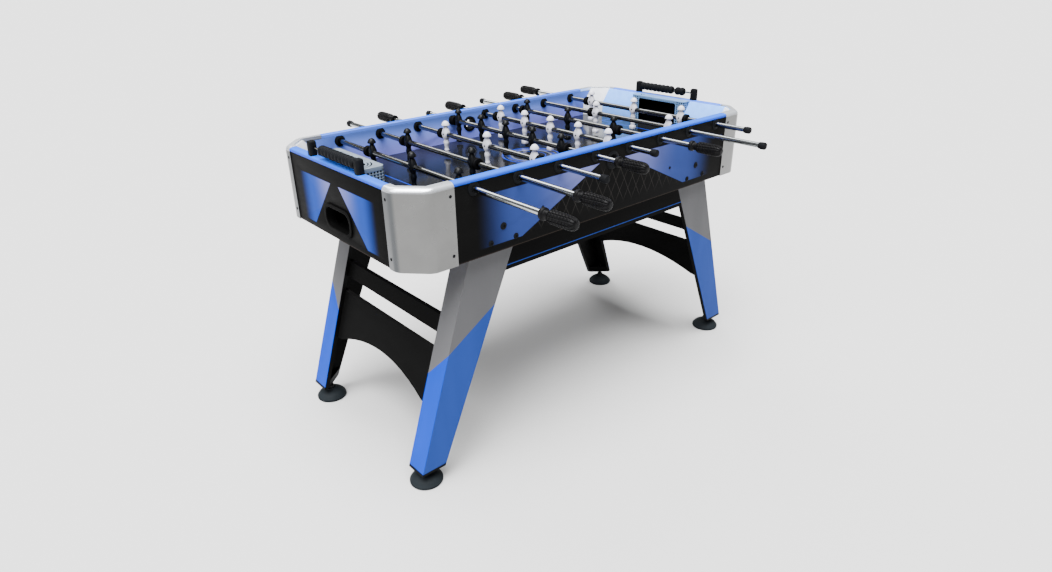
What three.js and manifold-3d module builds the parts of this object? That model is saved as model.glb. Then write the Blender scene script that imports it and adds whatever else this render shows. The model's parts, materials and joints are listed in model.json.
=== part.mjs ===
// Table football (foosball) table, millimetres, +Z up.
// Origin: floor level under the middle of the table. +X runs along the table, +Y across it.
// The end at -X is the near end, the long side at -Y is the front.
import * as THREE from 'three';
import { mergeVertices } from 'three/addons/utils/BufferGeometryUtils.js';
import Module from 'manifold-3d';

// ---------- driving dimensions ----------
const LENGTH = 1420;            // over the end panels
const WIDTH = 714;              // over the side panels
const HEIGHT = 888;             // floor to the top of the rails
const GAP = 0.3;                // clearance between touching pieces
const WALL = 24;                // side and end panel thickness
const CABINET_DEPTH = 216;      // rail top down to the lower edge of the panels
const RAIL_HEIGHT = 11;
const RAIL_OVERHANG = 1.5;
const RAIL_ROUND = 8;           // rounding of the outer top edge
const RAIL_EASE = 2;            // bevel of the inner top edge

const HALF_L = LENGTH / 2;
const HALF_W = WIDTH / 2;
const CABINET_BOTTOM = HEIGHT - CABINET_DEPTH;
const PANEL_TOP = HEIGHT - RAIL_HEIGHT - GAP;
const INNER_X = HALF_L - WALL;
const INNER_Y = HALF_W - WALL;

// corner covers
const CORNER_CUT_X = 64;        // how far the cut corner runs along the side
const CORNER_CUT_Y = 68;        // and along the end
const PANEL_SHORT = 10;         // how far a panel stops short of the cut corner
const COVER_BEND = 11;          // length that each vertical bend takes up
const COVER_X = 138;            // reach of a cover along the side
const COVER_Y = 101;            // and along the end
const COVER_PROUD = 2;          // how far a cover stands out from the panels
const COVER_ROUND = 10;         // rounding of its top outer edge
const RAMP_TOP = 884;           // top of the sloping banks at both ends
const RAMP_KNEE = 830;          // where the bank turns vertical
const RAMP_DEPTH = 41;          // how far a bank stands out from the end panel
const RAMP_LIP = 3;             // thickness left at the top of a bank
const RAMP_END_Y = 277;         // where the end banks stop and the corner banks begin

// the diagonal inner wall of a cover runs from (DIAGONAL_X, INNER_Y) to (INNER_X, DIAGONAL_Y)
const PANEL_REACH_X = HALF_L - CORNER_CUT_X - PANEL_SHORT;
const PANEL_REACH_Y = HALF_W - CORNER_CUT_Y - PANEL_SHORT;
const DIAGONAL_X = PANEL_REACH_X + GAP;
const DIAGONAL_Y = PANEL_REACH_Y + GAP;
const DIAGONAL_X_SPAN = INNER_X - DIAGONAL_X;
const DIAGONAL_Y_SPAN = INNER_Y - DIAGONAL_Y;

// playing field
const FIELD_TOP = 783;
const FIELD_THICKNESS = 9;
const GOAL_SLOT_DEPTH = 38;     // how far the drop slot is notched into the field's end
const GOAL_SLOT_HALF = 84;

// rods
const ROD_COUNT = 8;
const ROD_PITCH = 146.5;
const ROD_Z = 861;
const ROD_RADIUS = 8;
const ROD_BORE = 6.4;
const ROD_SIDES = 12;
const BUSHING_BORE = 9.3;
const BUSHING_FLANGE_RADIUS = 18;
const BUSHING_FLANGE = 4;
const HANDLE_LENGTH = 108;
const HANDLE_GRIP_ON_ROD = 84;
const HANDLE_CLEAR = 438;       // nearest the handle comes to the middle of the table
const TIP_CLEAR = 407;          // nearest the plain tip comes
const TIP_RADIUS = 11;
const TIP_LENGTH = 22;
const BUMPER_INNER = 16.2;      // from the middle of the outer player
const BUMPER_THICKNESS = 14;
const BUMPER_RADIUS = 16.5;
const WALL_STOP = INNER_Y - BUSHING_FLANGE;

// players
const FOOT_REACH = 71.5;        // rod axis to the sole
const HEAD_REACH = 43;

// Rods from the near end to the far end. side is the side the handle is on, shift the place along Y,
// and trim is how much shorter the plain end is.
const RODS = [
  { players: 3, spacing: 214, side: -1, shift: -84, trim: 0, team: 'black' },
  { players: 2, spacing: 327, side: -1, shift: 3, trim: 0, team: 'black' },
  { players: 3, spacing: 214, side: 1, shift: -45, trim: 0, team: 'white' },
  { players: 5, spacing: 128.5, side: -1, shift: 41, trim: 0, team: 'black' },
  { players: 5, spacing: 128.5, side: 1, shift: -14, trim: 0, team: 'white' },
  { players: 3, spacing: 214, side: -1, shift: 52, trim: 0, team: 'black' },
  { players: 2, spacing: 327, side: 1, shift: -110, trim: 19, team: 'white' },
  { players: 3, spacing: 214, side: 1, shift: 1, trim: 0, team: 'white' },
];

// legs
const LEG_FACE_Y = INNER_Y - GAP;
const LEG_DEPTH = 70;
const LEG_BOARD = 16;
const LEG_TOP = 760;
const LEG_BOTTOM = 52;
const LEG_FOOT_X = 720;         // outer corner of the foot at LEG_FIT
const LEG_FIT = 60;
const LEG_FOOT_WIDTH = 81;
const LEG_OUTER_SLOPE = 0.33;
const LEG_INNER_SLOPE = 0.449;
const LEG_BLOCK = 28;           // height of the corner block that takes the leveller
const STRETCHER_BOARD = 14;
const STRETCHER_LOW = 435;
const STRETCHER_HIGH = 483;
const ARCH_HIGH = 387;
const ARCH_CROWN = 283;
const ARCH_SPRING = 228;
const APRON_LOW = 596;
const APRON_BOARD = 12;

// levelling feet
const PAD_RADIUS = 49;
const PAD_X = 686;
const PAD_Y = 293;
const STUD_RADIUS = 5;
const STUD_TOP = 92;

// goals and ball returns
const GOAL_HALF = 125;
const GOAL_TOP = { near: 896, far: 886 };
const GOAL_FACE = { near: 620, far: 646 };
const MOUTH_HALF = 89;
const MOUTH_TOP = 880;
const GOAL_WALL = 3;
const RETURN_HALF_WIDTH = 65;
const RETURN_HALF_HEIGHT = 29;
const RETURN_Z = 733;
const RETURN_ROUND = 24;
const RETURN_FLANGE = 11;
const TRAY_DEPTH = 62;
const TRAY_WALL = 3;

// scorers
const POST_Y = 130;
const POST_X = HALF_L - 12;
const POST_TOP = 928;
const SCORE_ROD_Z = 912;
const SCORE_ROD_RADIUS = 3;
const BEAD_PITCH = 19;
const BEAD_RADIUS = 13.4;
const BEAD_BORE = 3.6;
const BEAD_TAPER = 2.4;         // how much slimmer a bead is where it meets the next

// serving hole
const SERVE_Z = 836;
const SERVE_RADIUS = 17;
const SERVE_RING_RADIUS = 27;

// ---------- materials ----------
const paint = (color, roughness, metalness = 0) =>
  new THREE.MeshStandardMaterial({ color, roughness, metalness });
const BLACK_BOARD = paint(0x1c1c1d, 0.45);
const BLUE_RAIL = paint(0x5e9df0, 0.35);
const BLUE_WALL = paint(0x4c74c4, 0.3);
const SILVER = paint(0xa5a6a4, 0.35, 0.35);
const FIELD_NAVY = paint(0x262c45, 0.15);
const LEG_GREY = paint(0x7f8084, 0.4);
const BLACK_PLASTIC = paint(0x17181b, 0.4);
const RUBBER = paint(0x121213, 0.75);
const CHROME = paint(0xd8d9da, 0.15, 1);
const WHITE_PLASTIC = paint(0xe9e8f2, 0.35);

// ---------- solids ----------
const wasm = await Module();
wasm.setup();

function toSolid(geometry) {
  const bare = geometry.clone();
  for (const name of Object.keys(bare.attributes)) {
    if (name !== 'position') bare.deleteAttribute(name);
  }
  const merged = mergeVertices(bare, 1e-4);
  return new wasm.Manifold(new wasm.Mesh({
    numProp: 3,
    vertProperties: new Float32Array(merged.attributes.position.array),
    triVerts: new Uint32Array(merged.index.array),
  }));
}

function toGeometry(solid) {
  const mesh = solid.getMesh();
  const geometry = new THREE.BufferGeometry();
  geometry.setAttribute('position', new THREE.BufferAttribute(mesh.vertProperties, 3));
  geometry.setIndex(new THREE.BufferAttribute(mesh.triVerts, 1));
  return geometry;
}

const join = (...solids) => solids.reduce((whole, piece) => whole.add(piece));
const cut = (body, ...tools) => tools.reduce((whole, tool) => whole.subtract(tool), body);

function box(x0, x1, y0, y1, z0, z1) {
  const geometry = new THREE.BoxGeometry(x1 - x0, y1 - y0, z1 - z0);
  return toSolid(geometry.translate((x0 + x1) / 2, (y0 + y1) / 2, (z0 + z1) / 2));
}

// A cylinder along Y between y0 and y1, at x, z.
function barrel(radius, x, z, y0, y1, sides = 24) {
  const geometry = new THREE.CylinderGeometry(radius, radius, y1 - y0, sides);
  return toSolid(geometry.translate(x, (y0 + y1) / 2, z));
}

// Outlines of equal length stacked at rising heights, closed at both ends.
function loft(layers) {
  const count = layers[0].outline.length;
  const positions = [];
  for (const { outline, z } of layers) {
    for (const [x, y] of outline) positions.push(x, y, z);
  }
  const faces = THREE.ShapeUtils.triangulateShape(
    layers[0].outline.map(([x, y]) => new THREE.Vector2(x, y)), []);
  const index = [];
  const top = (layers.length - 1) * count;
  for (const [a, b, c] of faces) {
    index.push(c, b, a, top + a, top + b, top + c);
  }
  for (let layer = 0; layer < layers.length - 1; layer += 1) {
    for (let i = 0; i < count; i += 1) {
      const a = layer * count + i;
      const b = layer * count + (i + 1) % count;
      index.push(a, b, b + count, a, b + count, a + count);
    }
  }
  const geometry = new THREE.BufferGeometry();
  geometry.setAttribute('position', new THREE.Float32BufferAttribute(positions, 3));
  geometry.setIndex(index);
  return geometry;
}

// An outline in X and Y raised from z0 to z1.
function prism(outline, z0, z1) {
  return toSolid(loft([{ outline, z: z0 }, { outline, z: z1 }]));
}

// An outline in X and Z, counter-clockwise seen from -Y, running from y0 to y1.
function prismAlongY(outline, y0, y1) {
  const shape = new THREE.Shape(outline.map(([x, z]) => new THREE.Vector2(x, z)));
  const geometry = new THREE.ExtrudeGeometry(shape, { depth: y1 - y0, bevelEnabled: false });
  return toSolid(geometry.rotateX(Math.PI / 2).translate(0, y1, 0));
}

// An outline in Y and Z running from x0 to x1.
function prismAlongX(outline, x0, x1) {
  const shape = new THREE.Shape(outline.map(([y, z]) => new THREE.Vector2(y, z)));
  const geometry = new THREE.ExtrudeGeometry(shape, { depth: x1 - x0, bevelEnabled: false });
  const turn = new THREE.Matrix4().makeBasis(
    new THREE.Vector3(0, 1, 0), new THREE.Vector3(0, 0, 1), new THREE.Vector3(1, 0, 0));
  return toSolid(geometry.applyMatrix4(turn).translate(x0, 0, 0));
}

// Mirrors a solid to one of the four corners; the solid is drawn at +X, +Y.
const toCorner = (solid, sx, sy) => {
  const flipped = sx < 0 ? solid.mirror([1, 0, 0]) : solid;
  return sy < 0 ? flipped.mirror([0, 1, 0]) : flipped;
};

const table = new THREE.Group();

function place(name, solid, material) {
  const mesh = new THREE.Mesh(toGeometry(solid), material);
  mesh.name = name;
  table.add(mesh);
}

// ---------- cabinet ----------
const rodX = (index) => (index - (ROD_COUNT - 1) / 2) * ROD_PITCH;

// A long side panel with its eight bushings pressed in and the serving ring, drawn at +Y.
function sidePanel() {
  let panel = box(-PANEL_REACH_X, PANEL_REACH_X, INNER_Y, HALF_W, CABINET_BOTTOM, PANEL_TOP);
  const runs = [[INNER_Y - BUSHING_FLANGE, INNER_Y + 1], [HALF_W - 1, HALF_W + BUSHING_FLANGE]];
  for (const [y0, y1] of runs) {
    for (let index = 0; index < ROD_COUNT; index += 1) {
      const past = rodX(index) + ROD_PITCH / 2;
      const flangeTop = box(past - ROD_PITCH, past, y0 - 1, y1 + 1, PANEL_TOP, HEIGHT);
      const flange = barrel(BUSHING_FLANGE_RADIUS, rodX(index), ROD_Z, y0, y1, 10);
      panel = panel.add(flange.subtract(flangeTop));
    }
    panel = panel.add(barrel(SERVE_RING_RADIUS, 0, SERVE_Z, y0, y1, 20));
  }
  const through = [INNER_Y - 2 * BUSHING_FLANGE, HALF_W + 2 * BUSHING_FLANGE];
  for (let index = 0; index < ROD_COUNT; index += 1) {
    panel = panel.subtract(barrel(BUSHING_BORE, rodX(index), ROD_Z, ...through, 8));
  }
  return panel.subtract(barrel(SERVE_RADIUS, 0, SERVE_Z, ...through, 16));
}

// A rounded rectangle in Y and Z.
function roundedOutline(halfWidth, halfHeight, radius, centreZ, steps = 4) {
  const points = [];
  const corners = [[1, 1], [-1, 1], [-1, -1], [1, -1]];
  corners.forEach(([sy, sz], quarter) => {
    for (let step = 0; step <= steps; step += 1) {
      const angle = (quarter + step / steps) * Math.PI / 2;
      points.push([
        sy * (halfWidth - radius) + radius * Math.cos(angle),
        centreZ + sz * (halfHeight - radius) + radius * Math.sin(angle),
      ]);
    }
  });
  return points;
}

// The outline of the ball return's opening, widened all round.
const returnOutline = (wider) => roundedOutline(
  RETURN_HALF_WIDTH + wider, RETURN_HALF_HEIGHT + wider, RETURN_ROUND + wider * 0.7, RETURN_Z);

// An end panel with the ball return hole, drawn at +X.
function endPanel() {
  const board = box(INNER_X, HALF_L, -PANEL_REACH_Y, PANEL_REACH_Y, CABINET_BOTTOM, PANEL_TOP);
  const hole = returnOutline(4);
  return cut(board, prismAlongX(hole, INNER_X - 1, HALF_L + 1));
}

// The section of a rail: flat inside, a big round outside; across runs outward from the inner face.
function railSection(inner) {
  const outer = inner + WALL + RAIL_OVERHANG;
  const low = HEIGHT - RAIL_HEIGHT;
  const points = [[inner, low], [outer, low]];
  const steps = 5;
  for (let step = 0; step <= steps; step += 1) {
    const angle = step / steps * Math.PI / 2;
    points.push([
      outer - RAIL_ROUND + RAIL_ROUND * Math.cos(angle),
      HEIGHT - RAIL_ROUND + RAIL_ROUND * Math.sin(angle),
    ]);
  }
  points.push([inner + RAIL_EASE, HEIGHT], [inner, HEIGHT - RAIL_EASE]);
  return points;
}

function cabinet() {
  const side = sidePanel();
  place('panel_front', toCorner(side, 1, -1), BLACK_BOARD);
  place('panel_back', side, BLACK_BOARD);
  const end = endPanel();
  place('panel_near_end', toCorner(end, -1, 1), BLACK_BOARD);
  place('panel_far_end', end, BLACK_BOARD);

  const sideRail = prismAlongX(railSection(INNER_Y), -HALF_L + COVER_X + GAP, HALF_L - COVER_X - GAP);
  place('rail_front', toCorner(sideRail, 1, -1), BLUE_RAIL);
  place('rail_back', sideRail, BLUE_RAIL);
  const endReach = HALF_W - COVER_Y - GAP;
  const endRail = prismAlongY(railSection(INNER_X), -endReach, endReach);
  place('rail_near_end', toCorner(endRail, -1, 1), BLUE_RAIL);
  place('rail_far_end', endRail, BLUE_RAIL);

  const field = box(-INNER_X + GAP, INNER_X - GAP, -INNER_Y + GAP, INNER_Y - GAP,
    FIELD_TOP - FIELD_THICKNESS, FIELD_TOP);
  const slot = box(INNER_X - GOAL_SLOT_DEPTH, INNER_X + 5, -GOAL_SLOT_HALF, GOAL_SLOT_HALF,
    FIELD_TOP - 20, FIELD_TOP + 20);
  const slots = [slot, toCorner(slot, -1, 1)];
  const corners = [-1, 1].flatMap((sx) => [-1, 1].map((sy) => toCorner(fieldCorner(), sx, sy)));
  place('playing_field', cut(field, ...slots, ...corners), FIELD_NAVY);
}

// What the field leaves free for a corner cover.
function fieldCorner() {
  const slant = DIAGONAL_Y_SPAN / DIAGONAL_X_SPAN;
  const past = 5;
  const outline = [
    [DIAGONAL_X - 2 * GAP - past / slant, INNER_Y + past],
    [INNER_X + past, DIAGONAL_Y - 2 * GAP - past * slant],
    [INNER_X + past, INNER_Y + past],
  ];
  return prism(outline, FIELD_TOP - 20, FIELD_TOP + 20);
}

// ---------- corner covers ----------
// The point at a distance from corner on the way to another point.
function towards(corner, other, distance) {
  const start = new THREE.Vector2(...corner);
  return new THREE.Vector2(...other).sub(start).setLength(distance).add(start);
}

// The outer outline of a cover pulled in by inset, with its two bends rounded.
function coverOutline(inset) {
  const x = HALF_L + COVER_PROUD - inset;
  const y = HALF_W + COVER_PROUD - inset;
  const bend = (corner, from, to) => {
    const curve = new THREE.QuadraticBezierCurve(
      towards(corner, from, COVER_BEND), new THREE.Vector2(...corner), towards(corner, to, COVER_BEND));
    return curve.getPoints(4).map((point) => [point.x, point.y]);
  };
  const sideEnd = [HALF_L - COVER_X, y];
  const sideBend = [HALF_L - CORNER_CUT_X - inset / 2, y];
  const endBend = [x, HALF_W - CORNER_CUT_Y - inset / 2];
  const endEnd = [x, HALF_W - COVER_Y];
  return [
    endEnd,
    ...bend(endBend, endEnd, sideBend),
    ...bend(sideBend, endBend, sideEnd),
    sideEnd,
  ];
}

function cornerCover() {
  const inner = [
    [HALF_L - COVER_X, INNER_Y], [DIAGONAL_X, INNER_Y], [INNER_X, DIAGONAL_Y], [INNER_X, HALF_W - COVER_Y],
  ];
  const layer = (inset, z) => ({ outline: [...coverOutline(inset), ...inner], z });
  const layers = [layer(0, CABINET_BOTTOM - COVER_PROUD)];
  for (let step = 0; step <= 3; step += 1) {
    const angle = step / 3 * Math.PI / 2;
    layers.push(layer(COVER_ROUND * (1 - Math.cos(angle)),
      HEIGHT + 1 - COVER_ROUND + COVER_ROUND * Math.sin(angle)));
  }
  const shell = toSolid(loft(layers));
  const low = CABINET_BOTTOM - 10;
  const sideSpace = box(0, DIAGONAL_X, INNER_Y - 5, HALF_W + GAP, low, PANEL_TOP + GAP);
  const endSpace = box(INNER_X - 5, HALF_L + GAP, 0, DIAGONAL_Y, low, PANEL_TOP + GAP);
  return join(cut(shell, sideSpace, endSpace), cornerBank());
}

// The sloping bank inside a corner. It stands on a 45 degree line up to the knee and then leans
// back to the cover's inner wall.
function cornerBank() {
  const edge = INNER_X - GAP;
  const side = INNER_Y - GAP;
  const merge = 0.5;
  const footX = edge - RAMP_DEPTH - (side - RAMP_END_Y);
  const back = [[edge, RAMP_END_Y], [edge, DIAGONAL_Y + merge], [DIAGONAL_X + merge, side]];
  const low = [[footX, side], [edge - RAMP_DEPTH, RAMP_END_Y], ...back];
  const high = [[DIAGONAL_X - RAMP_LIP, side], [edge - RAMP_LIP, RAMP_END_Y], ...back];
  return toSolid(loft([
    { outline: low, z: FIELD_TOP + GAP }, { outline: low, z: RAMP_KNEE }, { outline: high, z: RAMP_TOP },
  ]));
}

// ---------- end banks and goals ----------
// The two square cut end banks beside the goal, drawn at +X.
function endBanks() {
  const edge = INNER_X - GAP;
  const section = [
    [edge - RAMP_DEPTH, FIELD_TOP + GAP], [edge, FIELD_TOP + GAP], [edge, RAMP_TOP],
    [edge - RAMP_LIP, RAMP_TOP], [edge - RAMP_DEPTH, RAMP_KNEE],
  ];
  const bank = prismAlongY(section, GOAL_HALF + GAP, RAMP_END_Y - GAP);
  return join(bank, toCorner(bank, 1, -1));
}

// The goal of an end: a box with a mouth to the field, open at the back above the drop slot,
// drawn at +X.
function goal(end) {
  const edge = INNER_X - GAP;
  const goalFace = GOAL_FACE[end];
  const shell = box(goalFace, edge, -GOAL_HALF, GOAL_HALF, FIELD_TOP + GAP, GOAL_TOP[end]);
  const outline = roundedOutline(MOUTH_HALF, 60, 8, MOUTH_TOP - 60);
  const mouth = prismAlongX(outline, goalFace - 5, edge + 5);
  const hollow = box(goalFace + 4, edge + 5, -GOAL_HALF + GOAL_WALL, GOAL_HALF - GOAL_WALL,
    FIELD_TOP - 5, GOAL_TOP[end] - GOAL_WALL);
  return cut(shell, mouth, hollow);
}

// The end banks and the goal are one moulding, joined by a web on each side of the goal.
function goalEnd(end) {
  const web = box(INNER_X - 30, INNER_X - 20, GOAL_HALF - 1, GOAL_HALF + 2, FIELD_TOP + GAP, RAMP_KNEE);
  return join(endBanks(), goal(end), web, toCorner(web, 1, -1));
}

// ---------- ball return ----------
// A flanged sleeve through the end panel and the open tray that the ball drops into.
function ballReturn() {
  const flange = prismAlongX(returnOutline(RETURN_FLANGE), HALF_L + GAP, HALF_L + 4);
  const sleeve = prismAlongX(returnOutline(3.5), INNER_X - 6, HALF_L + 2);
  const trayFloor = RETURN_Z - RETURN_HALF_HEIGHT - 4;
  const trayTop = FIELD_TOP - FIELD_THICKNESS - GAP;
  const trayHalf = GOAL_SLOT_HALF + 2 * TRAY_WALL;
  const tray = box(INNER_X - TRAY_DEPTH, INNER_X - GAP, -trayHalf, trayHalf, trayFloor, trayTop);
  const hollowHalf = trayHalf - TRAY_WALL;
  const hollow = box(INNER_X - TRAY_DEPTH + TRAY_WALL, INNER_X, -hollowHalf, hollowHalf,
    trayFloor + 4, trayTop + 5);
  const bore = prismAlongX(returnOutline(0), INNER_X - 6, HALF_L + 6);
  return cut(join(flange, sleeve, tray), hollow, bore);
}

// ---------- legs ----------
// X of the outer and inner edge of a leg at height z, drawn at +X.
const legOuter = (z) => LEG_FOOT_X - LEG_OUTER_SLOPE * (z - LEG_FIT);
const legInner = (z) => LEG_FOOT_X - LEG_FOOT_WIDTH - LEG_INNER_SLOPE * (z - LEG_FIT);

// A leg: a tapered side board and a narrower end board glued to an L, with a three-cornered block
// between them for the leveller.
function leg() {
  const side = prismAlongY([
    [legInner(LEG_BOTTOM), LEG_BOTTOM], [legOuter(LEG_BOTTOM), LEG_BOTTOM],
    [legOuter(LEG_TOP), LEG_TOP], [legInner(LEG_TOP), LEG_TOP],
  ], LEG_FACE_Y - LEG_BOARD, LEG_FACE_Y);
  const end = prismAlongY([
    [legOuter(LEG_BOTTOM) - LEG_BOARD, LEG_BOTTOM], [legOuter(LEG_BOTTOM), LEG_BOTTOM],
    [legOuter(LEG_TOP), LEG_TOP], [legOuter(LEG_TOP) - LEG_BOARD, LEG_TOP],
  ], LEG_FACE_Y - LEG_DEPTH, LEG_FACE_Y);
  const merge = LEG_BOARD / 2;
  const blockLayer = (z) => ({
    z,
    outline: [
      [legOuter(z) - merge, LEG_FACE_Y - merge], [legInner(z) + GAP, LEG_FACE_Y - merge],
      [legInner(z) + GAP, LEG_FACE_Y - LEG_BOARD - GAP],
      [legOuter(z) - LEG_BOARD - GAP, LEG_FACE_Y - LEG_DEPTH + GAP],
      [legOuter(z) - merge, LEG_FACE_Y - LEG_DEPTH + GAP],
    ],
  });
  const block = toSolid(loft([blockLayer(LEG_BOTTOM), blockLayer(LEG_BOTTOM + LEG_BLOCK)]));
  const hole = new THREE.CylinderGeometry(STUD_RADIUS + 0.7, STUD_RADIUS + 0.7, 120, 16);
  hole.rotateX(Math.PI / 2).translate(PAD_X, PAD_Y, 60);
  return cut(join(side, end, block), toSolid(hole));
}

// A board that leans with the legs: an outline in Y and Z, pushed back by depth from their outer face.
function leaningBoard(outline, depth, thickness) {
  const shape = new THREE.Shape(outline.map(([y, z]) => new THREE.Vector2(y, z)));
  const geometry = new THREE.ExtrudeGeometry(shape, { depth: thickness, bevelEnabled: false });
  const turn = new THREE.Matrix4().makeBasis(
    new THREE.Vector3(0, 1, 0), new THREE.Vector3(0, 0, 1), new THREE.Vector3(1, 0, 0));
  geometry.applyMatrix4(turn);
  const position = geometry.attributes.position;
  for (let i = 0; i < position.count; i += 1) {
    position.setX(i, legOuter(position.getZ(i)) - depth - thickness + position.getX(i));
  }
  return toSolid(geometry);
}

function frameBetweenLegs() {
  const reach = LEG_FACE_Y - LEG_BOARD - GAP;
  const depth = LEG_BOARD + GAP;
  const upper = leaningBoard([
    [-reach, STRETCHER_LOW], [reach, STRETCHER_LOW], [reach, STRETCHER_HIGH], [-reach, STRETCHER_HIGH],
  ], depth, STRETCHER_BOARD);
  const archPoints = [];
  const steps = 16;
  for (let step = 0; step <= steps; step += 1) {
    const y = reach - (step / steps) * 2 * reach;
    const fall = Math.min(1, (y / 248) ** 2);
    archPoints.push([y, ARCH_CROWN - (ARCH_CROWN - ARCH_SPRING) * fall]);
  }
  const arch = leaningBoard([[-reach, ARCH_HIGH], ...archPoints.reverse(), [reach, ARCH_HIGH]].reverse(),
    depth, STRETCHER_BOARD);
  for (const [end, sx] of [['near', -1], ['far', 1]]) {
    place(`stretcher_${end}`, toCorner(upper, sx, 1), BLACK_BOARD);
    place(`arch_panel_${end}`, toCorner(arch, sx, 1), BLACK_BOARD);
  }
}

function apron() {
  const outline = [
    [-legInner(APRON_LOW) + 1, APRON_LOW], [legInner(APRON_LOW) - 1, APRON_LOW],
    [legInner(LEG_TOP) - 1, LEG_TOP], [-legInner(LEG_TOP) + 1, LEG_TOP],
  ];
  return prismAlongY(outline, LEG_FACE_Y - APRON_BOARD, LEG_FACE_Y);
}

function leveller() {
  const profile = [
    [0, 0], [46, 0], [PAD_RADIUS, 3], [PAD_RADIUS, 9], [38, 24], [14, 32],
    [14, 44], [STUD_RADIUS, 44], [STUD_RADIUS, STUD_TOP], [0, STUD_TOP],
  ].map(([r, z]) => new THREE.Vector2(r, z));
  return toSolid(new THREE.LatheGeometry(profile, 16).rotateX(Math.PI / 2).translate(PAD_X, PAD_Y, 0));
}

// ---------- scorers ----------
function scoreRack() {
  const foot = HEIGHT + GAP;
  const outline = (inset) => [[-11, -12], [11, -12], [11, 12], [-11, 12]].map(
    ([x, y]) => [x - Math.sign(x) * inset, y - Math.sign(y) * inset]);
  const post = toSolid(loft([
    { outline: outline(0), z: foot }, { outline: outline(0), z: POST_TOP - 2 },
    { outline: outline(2), z: POST_TOP },
  ]));
  const posts = [-1, 1].map((sy) => post.translate([POST_X, sy * POST_Y, 0]));
  return join(...posts, barrel(SCORE_ROD_RADIUS, POST_X, SCORE_ROD_Z, -POST_Y, POST_Y, 12));
}

// A run of touching beads from y downward.
function beads(count, startY) {
  const profile = [[BEAD_BORE, 0]];
  for (let bead = 0; bead < count; bead += 1) {
    const y = bead * BEAD_PITCH;
    profile.push([BEAD_RADIUS - BEAD_TAPER, y + 0.01], [BEAD_RADIUS, y + BEAD_PITCH / 2]);
  }
  const length = count * BEAD_PITCH;
  profile.push([BEAD_RADIUS - BEAD_TAPER, length], [BEAD_BORE, length + 0.01], [BEAD_BORE, 0]);
  const points = profile.map(([r, y]) => new THREE.Vector2(r, y));
  const geometry = new THREE.LatheGeometry(points, 8);
  return toSolid(geometry.translate(POST_X, startY - length, SCORE_ROD_Z));
}

function scorers() {
  const inside = POST_Y - 12 - GAP;
  const rack = scoreRack();
  place('score_rack_near', toCorner(rack, -1, 1), BLACK_PLASTIC);
  place('score_rack_far', rack, BLACK_PLASTIC);
  place('score_beads_near', toCorner(beads(10, 10 * BEAD_PITCH - inside), -1, 1), BLACK_PLASTIC);
  place('score_beads_far_a', beads(8, inside), BLACK_PLASTIC);
  place('score_beads_far_b', beads(2, -48), BLACK_PLASTIC);
}

// ---------- rods, players, handles ----------
// Half width along Y and half depth along X of a player at heights above the rod axis.
const PLAYER_SECTIONS = [
  [-FOOT_REACH, 10.5, 9], [-57, 10, 8.5], [-53, 7.5, 6.5], [-28, 10.5, 9], [-14, 8.5, 8.5],
  [-3, 15.5, 11], [7, 15, 11], [26, 6.5, 6.5], [28, 13, 13], [HEAD_REACH, 5, 5],
];

function player(x, y) {
  const sides = 6;
  const layers = PLAYER_SECTIONS.map(([z, a, b]) => ({
    z: ROD_Z + z,
    outline: Array.from({ length: sides }, (_, i) => {
      const angle = i / sides * 2 * Math.PI;
      return [x + b * Math.cos(angle), y + a * Math.sin(angle) / Math.sin(Math.PI / 3)];
    }),
  }));
  return toSolid(loft(layers));
}

const playerPlaces = ({ players, spacing, shift }) =>
  Array.from({ length: players }, (_, i) => shift + ((players - 1) / 2 - i) * spacing);

// How far a rod slides from its middle place to a stop.
const halfStroke = ({ players, spacing }) =>
  WALL_STOP - ((players - 1) / 2) * spacing - BUMPER_INNER - BUMPER_THICKNESS;

function bumper(x, y0) {
  const profile = [
    [ROD_RADIUS + GAP, 0], [BUMPER_RADIUS, 0], [BUMPER_RADIUS, BUMPER_THICKNESS],
    [ROD_RADIUS + GAP, BUMPER_THICKNESS], [ROD_RADIUS + GAP, 0],
  ].map(([r, y]) => new THREE.Vector2(r, y));
  return toSolid(new THREE.LatheGeometry(profile, ROD_SIDES).translate(x, y0, ROD_Z));
}

function rodSet(rod, index) {
  const x = rodX(index);
  const stroke = halfStroke(rod);
  const places = playerPlaces(rod);
  const handleStart = HANDLE_CLEAR + stroke;
  const tip = TIP_CLEAR + stroke - rod.trim;
  const along = (distance) => rod.shift + rod.side * distance;
  const span = (a, b) => [Math.min(along(a), along(b)), Math.max(along(a), along(b))];

  const gripEnd = handleStart + HANDLE_GRIP_ON_ROD;
  const tube = barrel(ROD_RADIUS, x, ROD_Z, ...span(-tip + 4, gripEnd), ROD_SIDES);
  const bore = barrel(ROD_BORE, x, ROD_Z, ...span(-tip + 6, gripEnd + 5), ROD_SIDES);
  const tipCap = barrel(TIP_RADIUS, x, ROD_Z, ...span(-tip, -tip + TIP_LENGTH), ROD_SIDES);
  const figures = places.map((y) => player(x, y));
  const back = places[0] + BUMPER_INNER;
  const front = places.at(-1) - BUMPER_INNER - BUMPER_THICKNESS;
  const [fixedY, slidingY] = rod.side < 0 ? [back, front] : [front, back];
  const fixedRing = barrel(BUMPER_RADIUS, x, ROD_Z, fixedY, fixedY + BUMPER_THICKNESS, ROD_SIDES);
  const body = join(tube, tipCap, fixedRing, ...figures).subtract(bore);
  place(`rod_${index + 1}`, body, rod.team === 'black' ? BLACK_PLASTIC : WHITE_PLASTIC);

  place(`bumper_${index + 1}`, bumper(x, slidingY), RUBBER);
  place(`handle_${index + 1}`, handle(rod.side).translate([x, along(handleStart), ROD_Z]), BLACK_PLASTIC);
}

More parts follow.
